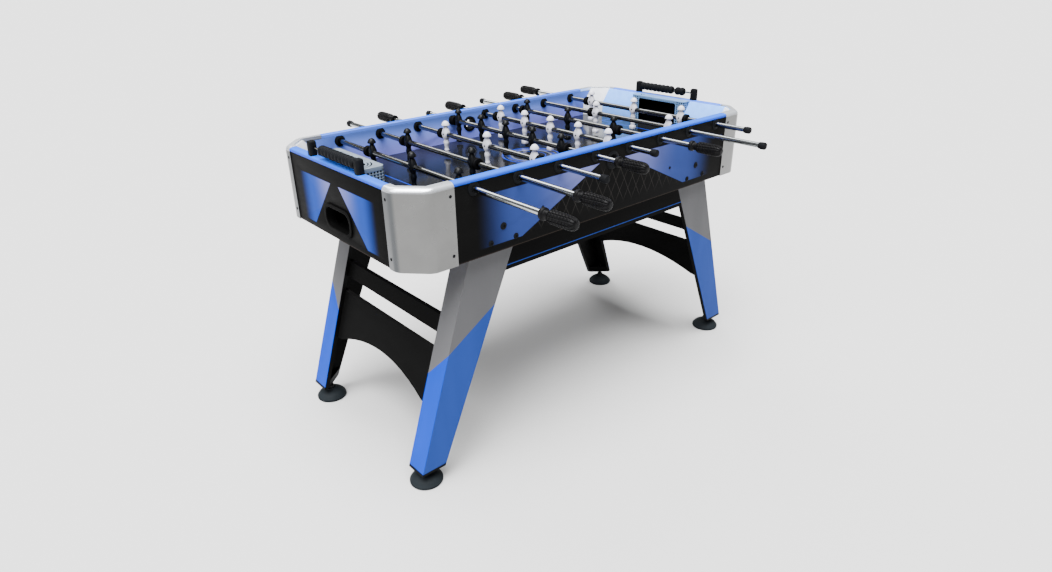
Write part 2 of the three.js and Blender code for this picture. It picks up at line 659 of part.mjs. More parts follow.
// A grip with a collar at the table side, a waist and a bulged grip, pointing along side.
function handle(side) {
  const bore = ROD_RADIUS + GAP;
  const profile = [
    [bore, 0], [15.5, 0], [15.5, 9], [11.5, 12], [11.5, 19], [16.8, 29],
    [16.8, HANDLE_LENGTH - 12], [11, HANDLE_LENGTH], [0, HANDLE_LENGTH],
    [0, HANDLE_GRIP_ON_ROD + 1], [bore, HANDLE_GRIP_ON_ROD + 1], [bore, 0],
  ].map(([r, y]) => new THREE.Vector2(r, y));
  const solid = toSolid(new THREE.LatheGeometry(profile, ROD_SIDES));
  return side < 0 ? solid.mirror([0, 1, 0]) : solid;
}

// ---------- assembly ----------
cabinet();
const cover = cornerCover();
const oneLeg = leg();
const oneLeveller = leveller();
for (const [end, sx] of [['near', -1], ['far', 1]]) {
  for (const [side, sy] of [['front', -1], ['back', 1]]) {
    place(`corner_cover_${end}_${side}`, toCorner(cover, sx, sy), SILVER);
    place(`leg_${end}_${side}`, toCorner(oneLeg, sx, sy), LEG_GREY);
    place(`leveller_${end}_${side}`, toCorner(oneLeveller, sx, sy), RUBBER);
  }
  place(`goal_end_${end}`, toCorner(goalEnd(end), sx, 1), BLUE_WALL);
  place(`ball_return_${end}`, toCorner(ballReturn(), sx, 1), BLACK_PLASTIC);
}
frameBetweenLegs();
place('apron_front', toCorner(apron(), 1, -1), BLACK_BOARD);
place('apron_back', apron(), BLACK_BOARD);
scorers();
RODS.forEach(rodSet);

export default table;
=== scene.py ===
"""Looks of a foosball table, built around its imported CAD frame. Metres, +Z up."""

import json
import math

import bmesh
import bpy
from mathutils import Matrix, Vector


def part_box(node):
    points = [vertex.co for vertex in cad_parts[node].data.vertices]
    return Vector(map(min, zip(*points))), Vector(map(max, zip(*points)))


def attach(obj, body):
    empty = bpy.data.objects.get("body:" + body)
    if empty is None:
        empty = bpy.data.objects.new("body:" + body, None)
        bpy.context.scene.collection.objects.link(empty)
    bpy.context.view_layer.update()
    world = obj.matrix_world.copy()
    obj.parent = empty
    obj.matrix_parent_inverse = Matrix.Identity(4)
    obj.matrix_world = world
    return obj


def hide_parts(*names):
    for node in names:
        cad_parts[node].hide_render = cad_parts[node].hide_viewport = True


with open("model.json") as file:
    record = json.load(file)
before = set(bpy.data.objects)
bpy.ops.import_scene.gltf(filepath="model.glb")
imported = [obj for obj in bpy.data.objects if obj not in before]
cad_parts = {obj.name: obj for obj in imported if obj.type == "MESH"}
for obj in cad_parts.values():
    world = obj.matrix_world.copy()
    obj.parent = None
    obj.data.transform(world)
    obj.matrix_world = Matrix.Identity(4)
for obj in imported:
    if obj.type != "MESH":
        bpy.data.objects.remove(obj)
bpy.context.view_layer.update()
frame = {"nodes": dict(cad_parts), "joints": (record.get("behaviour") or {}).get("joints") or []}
scene = bpy.context.scene
MM = 0.001

# ---------- camera ----------
CAMERA_PLACE = (-1.493, -1.6665, 1.3742)
CAMERA_YAW = 48.755        # from +X towards +Y
CAMERA_PITCH = 25.624      # below the horizon
CAMERA_ROLL = -0.811
CAMERA_LENS = 23.41


def add_camera():
    yaw, pitch, roll = (math.radians(a) for a in (CAMERA_YAW, CAMERA_PITCH, CAMERA_ROLL))
    ahead = Vector((math.cos(pitch) * math.cos(yaw), math.cos(pitch) * math.sin(yaw), -math.sin(pitch)))
    level = Vector((math.sin(yaw), -math.cos(yaw), 0))
    above = level.cross(ahead)
    right = math.cos(roll) * level + math.sin(roll) * above
    up = -math.sin(roll) * level + math.cos(roll) * above
    camera = bpy.data.objects.new("camera", bpy.data.cameras.new("camera"))
    camera.data.lens = CAMERA_LENS
    camera.data.sensor_width = 36
    turn = Matrix((right, up, -ahead)).transposed()
    camera.matrix_world = Matrix.Translation(CAMERA_PLACE) @ turn.to_4x4()
    scene.collection.objects.link(camera)
    scene.camera = camera


add_camera()

# ---------- sizes taken from the frame ----------
PANEL_LOW, PANEL_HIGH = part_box("panel_back")
END_LOW, END_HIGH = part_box("panel_far_end")
COVER_LOW, COVER_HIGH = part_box("corner_cover_far_back")
SIDE_RAIL_LOW, SIDE_RAIL_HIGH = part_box("rail_back")
END_RAIL_LOW, END_RAIL_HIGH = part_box("rail_far_end")
FLANGE = 4 * MM
INNER_Y = PANEL_LOW.y + FLANGE
OUTER_Y = PANEL_HIGH.y - FLANGE
INNER_X = END_LOW.x
OUTER_X = END_HIGH.x
RAIL_Z = SIDE_RAIL_HIGH.z
PANEL_TOP = PANEL_HIGH.z
PANEL_BOTTOM = PANEL_LOW.z
FIELD_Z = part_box("playing_field")[1].z
GAP = 0.3 * MM

SPINS = {j["name"]: j for j in frame["joints"] if j["name"].endswith("_spin")}
ROD_COUNT = len(SPINS)
ROD_X = [SPINS[f"rod_{i + 1}_spin"]["pos_m"][0] for i in range(ROD_COUNT)]
ROD_Z = SPINS["rod_1_spin"]["pos_m"][2]
PLAYERS_ON_ROD = [3, 2, 3, 5, 5, 3, 2, 3]
PLAYER_SPACING = {2: 327 * MM, 3: 214 * MM, 5: 128.5 * MM}
BLACK_TEAM = (0, 1, 3, 5)

CORNERS = [(end, side, sx, sy) for end, sx in (("near", -1), ("far", 1))
           for side, sy in (("front", -1), ("back", 1))]


# ---------- materials ----------
def srgb(red, green, blue):
    """A colour given on the usual 0 to 255 screen scale."""
    channels = [c / 255 for c in (red, green, blue)]
    return [c / 12.92 if c <= 0.04045 else ((c + 0.055) / 1.055) ** 2.4 for c in channels] + [1]


class Paint:
    """A procedural material with short names for the nodes that it uses."""

    def __init__(self, name, roughness, metallic=0.0, specular=0.5):
        self.material = bpy.data.materials.new(name)
        self.material.use_nodes = True
        self.tree = self.material.node_tree
        self.shader = self.tree.nodes["Principled BSDF"]
        fixed = {"Roughness": roughness, "Metallic": metallic, "Specular IOR Level": specular}
        for socket, value in fixed.items():
            self.shader.inputs[socket].default_value = value
        self.coordinates = None

    def node(self, kind, inputs=(), **settings):
        node = self.tree.nodes.new(kind)
        for key, value in settings.items():
            setattr(node, key, value)
        for key, value in dict(inputs).items():
            self.feed(value, node.inputs[key])
        return node

    def feed(self, value, socket):
        if isinstance(value, bpy.types.NodeSocket):
            self.tree.links.new(value, socket)
        else:
            socket.default_value = value

    def place(self):
        """Sockets for x, y and z in the frame's own metres."""
        if self.coordinates is None:
            self.coordinates = self.node("ShaderNodeTexCoord").outputs["Object"]
            self.xyz = self.node("ShaderNodeSeparateXYZ", {0: self.coordinates}).outputs
        return self.xyz[0], self.xyz[1], self.xyz[2]

    def reach(self, axis):
        """How far the place is from the table's middle along an axis."""
        return self.math("ABSOLUTE", self.place()[axis])

    def math(self, operation, a, b=0.0, c=0.0):
        return self.node("ShaderNodeMath", {0: a, 1: b, 2: c}, operation=operation).outputs[0]

    def minus(self, a, b):
        return self.math("SUBTRACT", a, b)

    def times(self, product, *others):
        for other in others:
            product = self.math("MULTIPLY", product, other)
        return product

    def ramp(self, value, start, end):
        """0 before start, 1 after end, smooth between."""
        inputs = {"Value": value, "From Min": start, "From Max": end}
        return self.node("ShaderNodeMapRange", inputs, interpolation_type="SMOOTHSTEP").outputs[0]

    def mix(self, share, a, b):
        node = self.node("ShaderNodeMix", data_type="RGBA")
        self.feed(share, node.inputs[0])
        self.feed(a, node.inputs[6])
        self.feed(b, node.inputs[7])
        return node.outputs[2]

    def noise(self, scale, detail=3.0, stretch=(1, 1, 1)):
        self.place()
        inputs = {0: self.coordinates, 1: stretch}
        mapped = self.node("ShaderNodeVectorMath", inputs, operation="MULTIPLY").outputs[0]
        inputs = {"Vector": mapped, "Scale": scale, "Detail": detail}
        return self.node("ShaderNodeTexNoise", inputs).outputs[0]

    def line(self, value, position, width):
        """1 on a line where value is near position, 0 elsewhere."""
        off = self.math("ABSOLUTE", self.minus(value, position))
        return self.ramp(off, width / 2, width / 2 - LINE_EDGE)

    def colour(self, value):
        self.feed(value, self.shader.inputs["Base Color"])

    def roughen(self, value, low, high):
        """Roughness that follows value between low and high."""
        inputs = {"Value": value, "To Min": low, "To Max": high}
        self.feed(self.node("ShaderNodeMapRange", inputs).outputs[0], self.shader.inputs["Roughness"])

    def bump(self, height, distance):
        bump = self.node("ShaderNodeBump", {"Height": height, "Distance": distance, "Strength": 1.0})
        self.feed(bump.outputs[0], self.shader.inputs["Normal"])

    def mottle(self, base, scale=30, depth=0.12, stretch=(1, 1, 1)):
        """base made a little lighter and darker in soft patches."""
        patches = self.ramp(self.noise(scale, 4, stretch), 0.3, 0.7)
        dark = [c * (1 - depth) for c in base[:3]] + [1]
        light = [min(1, c * (1 + depth)) for c in base[:3]] + [1]
        return self.mix(patches, dark, light)


def moulded(name, base, roughness, grain=900, depth=0.04 * MM, metallic=0.0, specular=0.5):
    """Moulded plastic or rubber: a fine texture and slow changes of gloss."""
    paint = Paint(name, roughness, metallic, specular)
    paint.colour(paint.mottle(base, 40, 0.08))
    paint.roughen(paint.noise(55, 3), roughness * 0.8, min(1, roughness * 1.25))
    paint.bump(paint.noise(grain, 2), depth)
    return paint.material


def chrome():
    """Bright at the ends, and darker over the field as a painted reflection of the dark field and walls,
    with a fine grain along the rod.
    """
    paint = Paint("chromed_steel", 0.15, 1.0)
    bright = paint.mottle(srgb(168, 172, 174), 60, 0.04, (1, 0.1, 1))
    # painted reflection: the chrome over the field is made darker, standing in for the dark surroundings
    # that it mirrors
    painted_dark_reflection = paint.mottle(srgb(118, 119, 118), 60, 0.08, (1, 0.1, 1))
    outside = paint.ramp(paint.reach(1), OUTER_Y - 5 * MM, OUTER_Y - MM)
    paint.colour(paint.mix(outside, painted_dark_reflection, bright))
    paint.roughen(paint.noise(260, 3, (1, 0.04, 1)), 0.06, 0.2)
    paint.bump(paint.noise(700, 2, (1, 0.02, 1)), 0.01 * MM)
    return paint.material


def laminate(paint, base):
    """The faint pressed grain of laminated board, along the table."""
    paint.roughen(paint.noise(90, 4, (0.3, 0.3, 1)), 0.3, 0.46)
    paint.bump(paint.noise(420, 3, (0.25, 0.25, 1)), 0.06 * MM)
    return paint.mottle(base, 14, 0.07, (0.4, 0.4, 1.5))


def diamond_mesh(paint, along, height, width, rise):
    """1 on the crossing slanted lines of a mesh of diamonds."""
    slants = []
    for sign in (1, -1):
        phase = paint.math("MULTIPLY_ADD", along, 1 / width, paint.times(height, sign / rise))
        wave = paint.math("ABSOLUTE", paint.minus(paint.math("FRACT", phase), 0.5))
        slants.append(paint.ramp(wave, 0.028, 0.008))
    return paint.math("MAXIMUM", *slants)


def printed_panel(name, across, tip, foot, top, bottom, fade, blue, black, wall, mesh=None):
    """Board with a dark print outside and a blue inner face.

    The print is a pair of blue fields with slanted inner edges from tip down to foot,
    which fade to black between the two fade distances. across is 0 for x and 1 for y.
    """
    paint = Paint(name, 0.4, specular=0.008)
    axes = paint.place()
    reach = paint.reach(across)
    height = axes[2]
    drop = paint.minus(top, height)
    past_edge = paint.minus(reach, paint.math("MULTIPLY_ADD", drop, (foot - tip) / (top - bottom), tip))
    field = paint.times(paint.ramp(past_edge, 0, PRINT_EDGE), paint.ramp(drop, 0, PRINT_EDGE),
                        paint.ramp(paint.minus(height, bottom), 0, PRINT_EDGE),
                        paint.minus(1, paint.ramp(reach, *fade)))
    lilac = paint.times(paint.ramp(reach, tip + (fade[1] - tip) * 0.6, tip),
                        paint.ramp(height, bottom - 40 * MM, top))
    blues = paint.mix(lilac, blue, PRINT_LILAC)
    black = laminate(paint, black)
    if mesh:
        lines = diamond_mesh(paint, axes[across], height, *mesh)
        inside = paint.times(paint.ramp(past_edge, -2 * MM, -4 * MM), paint.ramp(drop, 4 * MM, 40 * MM),
                             paint.ramp(height, bottom - 2 * MM, bottom + 30 * MM))
        black = paint.mix(paint.times(lines, inside, 0.55), black, MESH_LINE)
    # painted highlight: a thin light line along the board's bottom edge
    band = paint.ramp(height, PANEL_BOTTOM + 3 * MM, PANEL_BOTTOM + 2 * MM)
    black = paint.mix(band, black, PAINTED_EDGE_HIGHLIGHT)
    outside = paint.mix(field, black, blues)
    patches = paint.ramp(paint.noise(2.2, 1), 0.35, 0.65)
    wall_low = paint.mix(patches, srgb(122, 134, 236), srgb(150, 150, 242))
    wall_blue = paint.mix(paint.ramp(height, FIELD_Z, PANEL_TOP), wall_low, srgb(112, 148, 250))
    outward = paint.ramp(paint.reach(1 - across), wall - 0.2 * MM, wall + 0.4 * MM)
    paint.colour(paint.mix(outward, wall_blue, outside))
    return paint.material


def rail_blue():
    """A painted highlight on top, and painted light in the walls' paler blue on the side towards the field.
    """
    paint = Paint("rail_blue", 0.34, specular=0.08)
    # painted highlight: the top of the rail made lighter where the light falls on it
    top = paint.ramp(paint.place()[2], RAIL_Z - 6 * MM, RAIL_Z - 1.5 * MM)
    blue = paint.mix(top, srgb(28, 66, 178), srgb(26, 90, 205))
    # painted light: the side towards the field made paler, standing in for light that the shaded face lacks
    inside = paint.times(paint.ramp(paint.reach(0), INNER_X + 3 * MM, INNER_X + MM),
                         paint.ramp(paint.reach(1), INNER_Y + 3 * MM, INNER_Y + MM))
    blue = paint.mix(inside, blue, srgb(88, 124, 226))
    darker = paint.mix(0.08, blue, srgb(0, 0, 0))
    paint.colour(paint.mix(paint.noise(9, 3, (0.4, 0.4, 2)), darker, blue))
    paint.roughen(paint.noise(70, 3, (0.2, 0.2, 1)), 0.22, 0.36)
    paint.bump(paint.noise(160, 3, (0.15, 0.15, 1)), 0.05 * MM)
    return paint.material


def silver():
    """Satin silver plastic, with painted shade on the end flanges and a painted highlight along the top
    edge.
    """
    paint = Paint("satin_silver", 0.3, 0.75)
    side = paint.mottle(srgb(106, 106, 105), 18, 0.04)
    # painted shade: the end flanges are made darker, standing in for how little light they reflect
    flange = paint.ramp(paint.reach(0), COVER_HIGH.x - 9 * MM, COVER_HIGH.x - 2 * MM)
    side = paint.mix(flange, side, srgb(72, 74, 76))
    # painted highlight: a near-white band along the rounded top edge, where it catches the light from above
    rim = paint.ramp(paint.place()[2], COVER_HIGH.z - 14 * MM, COVER_HIGH.z - 7 * MM)
    paint.colour(paint.mix(rim, side, srgb(226, 230, 236)))
    paint.roughen(paint.noise(60, 3), 0.24, 0.34)
    paint.bump(paint.noise(1500, 2), 0.02 * MM)
    return paint.material


def playing_field():
    """Glossy black board with a ringed centre circle, goal areas and a dashed halfway line."""
    paint = Paint("playing_field", 0.12, specular=0.15)
    x, y, _ = paint.place()
    distance = paint.math("SQRT", paint.math("ADD", paint.times(x, x), paint.times(y, y)))
    blue, pale = srgb(24, 50, 150), srgb(80, 84, 96)
    colour = paint.mix(paint.ramp(paint.noise(3.0, 2), 0.3, 0.75), srgb(16, 17, 19), srgb(20, 21, 24))
    for radius, width, tint in ((95, 7, blue), (84, 4, pale), (66, 9, pale), (48, 3, blue)):
        colour = paint.mix(paint.line(distance, radius * MM, width * MM), colour, tint)
    disc = paint.times(paint.ramp(distance, 82 * MM, 80 * MM), paint.ramp(distance, 68 * MM, 72 * MM))
    colour = paint.mix(paint.times(disc, 0.7), colour, blue)
    dashes = paint.ramp(paint.math("FRACT", paint.times(y, 1 / DASH_PITCH)), 0.5, 0.51)
    past_rings = paint.ramp(distance, 100 * MM, 101 * MM)
    colour = paint.mix(paint.times(paint.line(x, 0, 6 * MM), dashes, past_rings), colour, pale)
    for depth, half in GOAL_AREAS:
        front = paint.times(paint.line(paint.reach(0), depth, AREA_LINE),
                            paint.ramp(paint.reach(1), half, half - MM))
        sides = paint.times(paint.line(paint.reach(1), half, AREA_LINE),
                            paint.ramp(paint.reach(0), depth, depth + MM))
        colour = paint.mix(paint.math("MAXIMUM", front, sides), colour, blue)
    paint.colour(colour)
    paint.roughen(paint.noise(30, 4), 0.08, 0.2)
    paint.bump(paint.noise(35, 2), 0.03 * MM)
    return paint.material


def leg_laminate(lower, upper):
    """Grey above and blue below a slanted line on the two outer faces, black elsewhere.

    lower and upper are the (x, z) ends of a leg's outer edge.
    """
    paint = Paint("leg_laminate", 0.45, specular=0.03)
    z = paint.place()[2]
    slope = (lower[0] - upper[0]) / (upper[1] - lower[1])
    outer = paint.minus(lower[0], paint.times(paint.minus(z, lower[1]), slope))
    from_corner = paint.minus(outer, paint.reach(0))
    from_side = paint.minus(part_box("leg_far_back")[1].y, paint.reach(1))
    on_end, on_side = (paint.ramp(off, 1.4 * MM, 1.2 * MM) for off in (from_corner, from_side))
    split_end = paint.minus(SPLIT_Z, paint.times(from_side, SPLIT_END_FALL))
    corner_x = lower[0] - (SPLIT_Z - lower[1]) * slope
    along_side = paint.minus(corner_x, paint.reach(0))
    split_side = paint.math("ADD", SPLIT_Z, paint.times(along_side, SPLIT_SIDE_RISE))
    above = paint.ramp(paint.minus(z, paint.mix(on_end, split_side, split_end)), 0, MM)
    grey = paint.mottle(srgb(82, 82, 84), 16, 0.04, (1, 1, 0.2))
    # painted light and shade: one blue laminate, painted as a lit copy on the end faces and a duller shaded
    # copy on the side faces
    blue = paint.mix(on_end, paint.mottle(srgb(34, 60, 130), 16, 0.05, (1, 1, 0.2)),
                     paint.mottle(srgb(6, 55, 165), 16, 0.05, (1, 1, 0.2)))
    shown = paint.times(paint.math("MAXIMUM", on_end, on_side), paint.ramp(z, 60 * MM, 61 * MM))
    paint.colour(paint.mix(shown, laminate(paint, srgb(10, 10, 10)), paint.mix(above, blue, grey)))
    return paint.material


def black_board(name="black_board", stripe=None):
    """Black laminate with painted light on its upper edges, and a blue stripe at a (height, width)."""
    paint = Paint(name, 0.4, specular=0.008)
    normal = paint.node("ShaderNodeNewGeometry").outputs["Normal"]
    # painted light: faces that look upward are made lighter
    painted_light_on_top = paint.ramp(paint.node("ShaderNodeSeparateXYZ", {0: normal}).outputs[2], 0.4, 0.8)
    base = paint.mix(painted_light_on_top, laminate(paint, srgb(11, 11, 11)), srgb(22, 22, 22))
    if stripe:
        base = paint.mix(paint.line(paint.place()[2], *stripe), base, srgb(36, 60, 130))
    paint.colour(base)
    return paint.material


LINE_EDGE = 0.7 * MM                  # how softly a printed line ends
PRINT_EDGE = 0.8 * MM
LAMINATE_BLACK = srgb(14, 14, 14)
END_BLACK = srgb(10, 10, 10)
# painted highlight along the side boards' bottom edge
PAINTED_EDGE_HIGHLIGHT = srgb(40, 35, 32)
MESH_LINE = srgb(62, 60, 58)
PRINT_BLUE = srgb(44, 60, 116)
PRINT_LILAC = srgb(104, 108, 158)
END_PRINT_BLUE = srgb(30, 62, 144)
DASH_PITCH = 69 * MM
AREA_LINE = 5 * MM
GOAL_AREAS = ((475 * MM, 139 * MM), (560 * MM, 200 * MM))
LEG_FOOT = (720 * MM, 60 * MM)        # x and z of the foot of a leg's outer edge
LEG_RISE = 700 * MM
LEG_SPLAY = 0.33
SPLIT_Z = 405 * MM                    # where the slanted line crosses a leg's corner
SPLIT_END_FALL = 1.1
SPLIT_SIDE_RISE = 0.607

BLACK = moulded("black_plastic", srgb(18, 19, 21), 0.42, specular=0.015)
RETURN_BLACK = moulded("return_black", srgb(8, 8, 8), 0.5, specular=0.01)
BLACK_PLAYER = moulded("black_player", srgb(12, 13, 15), 0.3, 500, 0.03 * MM, specular=0.1)
WHITE_PLAYER = moulded("white_player", srgb(196, 196, 206), 0.32, 500, 0.03 * MM, specular=0.3)
GRIP = moulded("black_grip", srgb(11, 11, 12), 0.36, 1400, specular=0.06)
RUBBER = moulded("black_rubber", srgb(12, 12, 13), 0.6, 1100, 0.08 * MM, specular=0.02)
PAD_RUBBER = moulded("pad_rubber", srgb(24, 28, 31), 0.6, 1100, 0.08 * MM, specular=0.06)
LINER = moulded("goal_liner", srgb(6, 6, 7), 0.7, specular=0.0)
GOAL_GREY = moulded("goal_grey", srgb(104, 114, 124), 0.35, specular=0.2)
GOAL_BLUE = moulded("goal_blue", srgb(98, 130, 172), 0.35, specular=0.2)
# painted light: the corner banks are silver plastic like the covers, given a near-white lit colour
BANK_PAINTED_LIGHT = moulded("bank_painted_light", srgb(222, 225, 230), 0.35, specular=0.3)
BENCH_BLUE = moulded("bench_blue", srgb(106, 165, 255), 0.3, specular=0.3)
STEEL = moulded("dark_steel", srgb(30, 30, 31), 0.35, 600, 0.03 * MM, metallic=0.8)
CHROME = chrome()
SILVER = silver()
RAIL_BLUE = rail_blue()
FIELD = playing_field()
SIDE_PRINT = printed_panel("side_print", across=0, tip=54 * MM, foot=356 * MM, top=837 * MM, bottom=693 * MM,
                           fade=(360 * MM, 510 * MM), blue=PRINT_BLUE, black=LAMINATE_BLACK, wall=INNER_Y,
                           mesh=(38 * MM, 70 * MM))
END_PRINT = printed_panel("end_print", across=1, tip=21 * MM, foot=148 * MM, top=833 * MM, bottom=688 * MM,
                          fade=(140 * MM, 212 * MM), blue=END_PRINT_BLUE, black=END_BLACK, wall=INNER_X)
LEG = leg_laminate(LEG_FOOT, (LEG_FOOT[0] - LEG_SPLAY * LEG_RISE, LEG_FOOT[1] + LEG_RISE))
BOARD = black_board()
APRON = black_board("apron_board", (610 * MM, 3.4 * MM))


# ---------- mesh building ----------
def mm(*pairs):
    """Pairs of millimetres as pairs of metres."""
    return [(a * MM, b * MM) for a, b in pairs]


def revolve(bm, profile, centre, along, segments=40, closed=False):
    """A round body from (radius, distance) pairs, turned about the line along X, Y or Z through centre."""
    axis = "XYZ".index(along)
    side, up = (axis + 1) % 3, (axis + 2) % 3
    rings = []
    for radius, distance in profile:
        ring = []
        for i in range(1 if radius < 1e-6 else segments):
            angle = 2 * math.pi * i / segments
            point = Vector(centre)
            point[axis] += distance
            point[side] += radius * math.cos(angle)
            point[up] += radius * math.sin(angle)
            ring.append(bm.verts.new(point))
        rings.append(ring)
    if closed:
        rings.append(rings[0])
    for a, b in zip(rings, rings[1:]):
        for i in range(segments):
            j = (i + 1) % segments
            corners = [a[i % len(a)], a[j % len(a)], b[j % len(b)], b[i % len(b)]]
            bm.faces.new(list(dict.fromkeys(corners)))


def loft(bm, loops):
    """Closed loops of equally many points joined into one skin with closed ends."""
    rings = [[bm.verts.new(p) for p in loop] for loop in loops]
    count = len(rings[0])
    for a, b in zip(rings, rings[1:]):
        for i in range(count):
            j = (i + 1) % count
            bm.faces.new((a[i], a[j], b[j], b[i]))
    bm.faces.new(rings[0])
    bm.faces.new(rings[-1])


def plain_box(bm, low, high):
    made = bmesh.ops.create_cube(bm, size=1)["verts"]
    low, high = Vector(low), Vector(high)
    for vert in made:
        vert.co = Vector(low[i] + (vert.co[i] + 0.5) * (high[i] - low[i]) for i in range(3))
    return made


def round_box(bm, low, high, edge):
    """A box between two corners with its edges rounded."""
    made = plain_box(bm, low, high)
    edges = list({e for v in made for e in v.link_edges})
    bmesh.ops.bevel(bm, geom=edges, offset=edge, segments=3, affect="EDGES", profile=0.5)


def arc(centre, radius, start, end, steps):
    """Points on an arc, angles in degrees."""
    angles = [math.radians(start + (end - start) * i / steps) for i in range(steps + 1)]
    return [(centre[0] + radius * math.cos(a), centre[1] + radius * math.sin(a)) for a in angles]


def rounded_rectangle(half_a, half_b, radius, centre=(0, 0), steps=8):
    points = []
    for quarter, (sa, sb) in enumerate(((1, 1), (-1, 1), (-1, -1), (1, -1))):
        middle = (centre[0] + sa * (half_a - radius), centre[1] + sb * (half_b - radius))
        points += arc(middle, radius, 90 * quarter, 90 * quarter + 90, steps)
    return points


def plate(outline, holes, thickness, edge, steps=2):
    """A mesh of a flat board with holes, lying in its own X and Y, centred in Z, with rounded edges."""
    curve = bpy.data.curves.new("plate", "CURVE")
    curve.dimensions = "2D"
    curve.fill_mode = "BOTH"
    curve.extrude = thickness / 2 - edge
    curve.bevel_depth = edge
    curve.bevel_resolution = steps
    curve.offset = -edge
    for loop in [outline] + list(holes):
        spline = curve.splines.new("POLY")
        spline.points.add(len(loop) - 1)
        spline.use_cyclic_u = True
        for point, (a, b) in zip(spline.points, loop):
            point.co = (a, b, 0, 1)
    holder = bpy.data.objects.new("plate", curve)
    scene.collection.objects.link(holder)
    bpy.context.view_layer.update()
    mesh = bpy.data.meshes.new_from_object(holder.evaluated_get(bpy.context.evaluated_depsgraph_get()))
    bpy.data.objects.remove(holder)
    bpy.data.curves.remove(curve)
    bm = bmesh.new()
    bm.from_mesh(mesh)
    bpy.data.meshes.remove(mesh)
    bmesh.ops.remove_doubles(bm, verts=bm.verts, dist=0.01 * MM)
    return bm


def stand(bm, u, v, w, place):
    """Turns a mesh so that its X, Y and Z lie along u, v and w, and moves it to place."""
    turn = Matrix((u, v, w)).transposed().to_4x4()
    bm.transform(Matrix.Translation(place) @ turn)
    return bm


X, Y, Z = Vector((1, 0, 0)), Vector((0, 1, 0)), Vector((0, 0, 1))
BLACK_PLASTIC = ("cabinet", "black_plastic")        # body and material slot
GOAL_PLASTIC = ("cabinet", "goal_plastic")
ENDS = (("near", -1), ("far", 1))


def piece(name, bm, material, body, slot, replaces=(), crease=32, bevel=0.0):
    """Makes the mesh an object that rides on a body."""
    bmesh.ops.recalc_face_normals(bm, faces=bm.faces)
    mesh = bpy.data.meshes.new(name)
    bm.to_mesh(mesh)
    bm.free()
    mesh.polygons.foreach_set("use_smooth", [True] * len(mesh.polygons))
    mesh.set_sharp_from_angle(angle=math.radians(crease))
    mesh.materials.append(material)
    obj = bpy.data.objects.new(name, mesh)
    scene.collection.objects.link(obj)
    if bevel:
        round_edges(obj, bevel)
    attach(obj, body)
    if replaces:
        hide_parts(*replaces)
    return obj


def round_edges(obj, width):
    modifier = obj.modifiers.new("edges", "BEVEL")
    modifier.width = width
    modifier.segments = 2
    modifier.limit_method = "ANGLE"
    modifier.angle_limit = math.radians(40)


def mirrored(bm, sx, sy):
    bm.transform(Matrix.Diagonal((sx, sy, 1, 1)))
    return bm


def keep(node, material, bevel):
    """A CAD node that stays, with its finish and softened edges."""
    obj = frame["nodes"][node]
    obj.data.materials.clear()
    obj.data.materials.append(material)
    round_edges(obj, bevel)


# ---------- floor and light ----------
SURROUND = 0.3
FLOOR_HALF = 40
FLOOR_SHADE = srgb(188, 188, 188)
SUNS = (
    # name, direction towards the light, how broad it is in degrees, strength
    ("key_sun", (-0.62, -0.10, 0.78), 50, 4.5),
    ("top_sun", (-0.12, -0.14, 0.98), 50, 12.0),
    ("back_sun", (0.12, 0.67, 0.73), 30, 1.6),
)


def studio():
    mesh = bpy.data.meshes.new("studio_floor")
    bm = bmesh.new()
    bmesh.ops.create_grid(bm, x_segments=2, y_segments=2, size=FLOOR_HALF)
    bm.to_mesh(mesh)
    bm.free()
    floor = bpy.data.objects.new("studio_floor", mesh)
    scene.collection.objects.link(floor)
    paint = Paint("studio_floor", 0.9, specular=0.0)
    paint.colour(paint.mottle(FLOOR_SHADE, 2, 0.004))
    mesh.materials.append(paint.material)

    world = bpy.data.worlds.new("studio")
    scene.world = world
    world.use_nodes = True
    background = world.node_tree.nodes["Background"]
    background.inputs["Color"].default_value = (1, 1, 1, 1)
    background.inputs["Strength"].default_value = SURROUND
    for name, towards, spread, power in SUNS:
        lamp = bpy.data.objects.new(name, bpy.data.lights.new(name, "SUN"))
        lamp.data.angle = math.radians(spread)
        lamp.data.energy = power
        lamp.location = Vector(towards) * 4
        lamp.rotation_euler = (-Vector(towards)).to_track_quat("-Z", "Y").to_euler()
        scene.collection.objects.link(lamp)


# ---------- cabinet ----------
RAIL_ROUND = 8 * MM
RAIL_EASE = 2.5 * MM


def rail_section(inner, outer, low, high):
    """Flat inside, well rounded along the outer top edge."""
    chamfer = 2 * MM
    points = [(inner, low), (outer - chamfer, low), (outer, low + chamfer)]
    points += arc((outer - RAIL_ROUND, high - RAIL_ROUND), RAIL_ROUND, 0, 90, 8)
    points += arc((inner + RAIL_EASE, high - RAIL_EASE), RAIL_EASE, 90, 180, 4)
    return points


def rails():
    low, high = SIDE_RAIL_LOW, SIDE_RAIL_HIGH
    section = rail_section(low.y, high.y, low.z, high.z)
    along_x = [[(x, y, z) for y, z in section] for x in (low.x, high.x)]
    low, high = END_RAIL_LOW, END_RAIL_HIGH
    section = rail_section(low.x, high.x, low.z, high.z)
    along_y = [[(x, y, z) for x, z in section] for y in (low.y, high.y)]
    for name, loops, signs in (("rail_front", along_x, (1, -1)), ("rail_back", along_x, (1, 1)),
                               ("rail_near_end", along_y, (-1, 1)), ("rail_far_end", along_y, (1, 1))):
        bm = bmesh.new()
        loft(bm, loops)
        piece(f"{name}_moulding", mirrored(bm, *signs), RAIL_BLUE, "cabinet", "blue_rail", (name,))


def circle(centre, radius, steps=32):
    return arc(centre, radius, 0, 360 - 360 / steps, steps - 1)


SERVE = (0, 836 * MM)
SERVE_RADIUS = 17 * MM
BUSHING_HOLE = 14 * MM
PROUD = 0.1 * MM                      # how far a fitting stands off its board
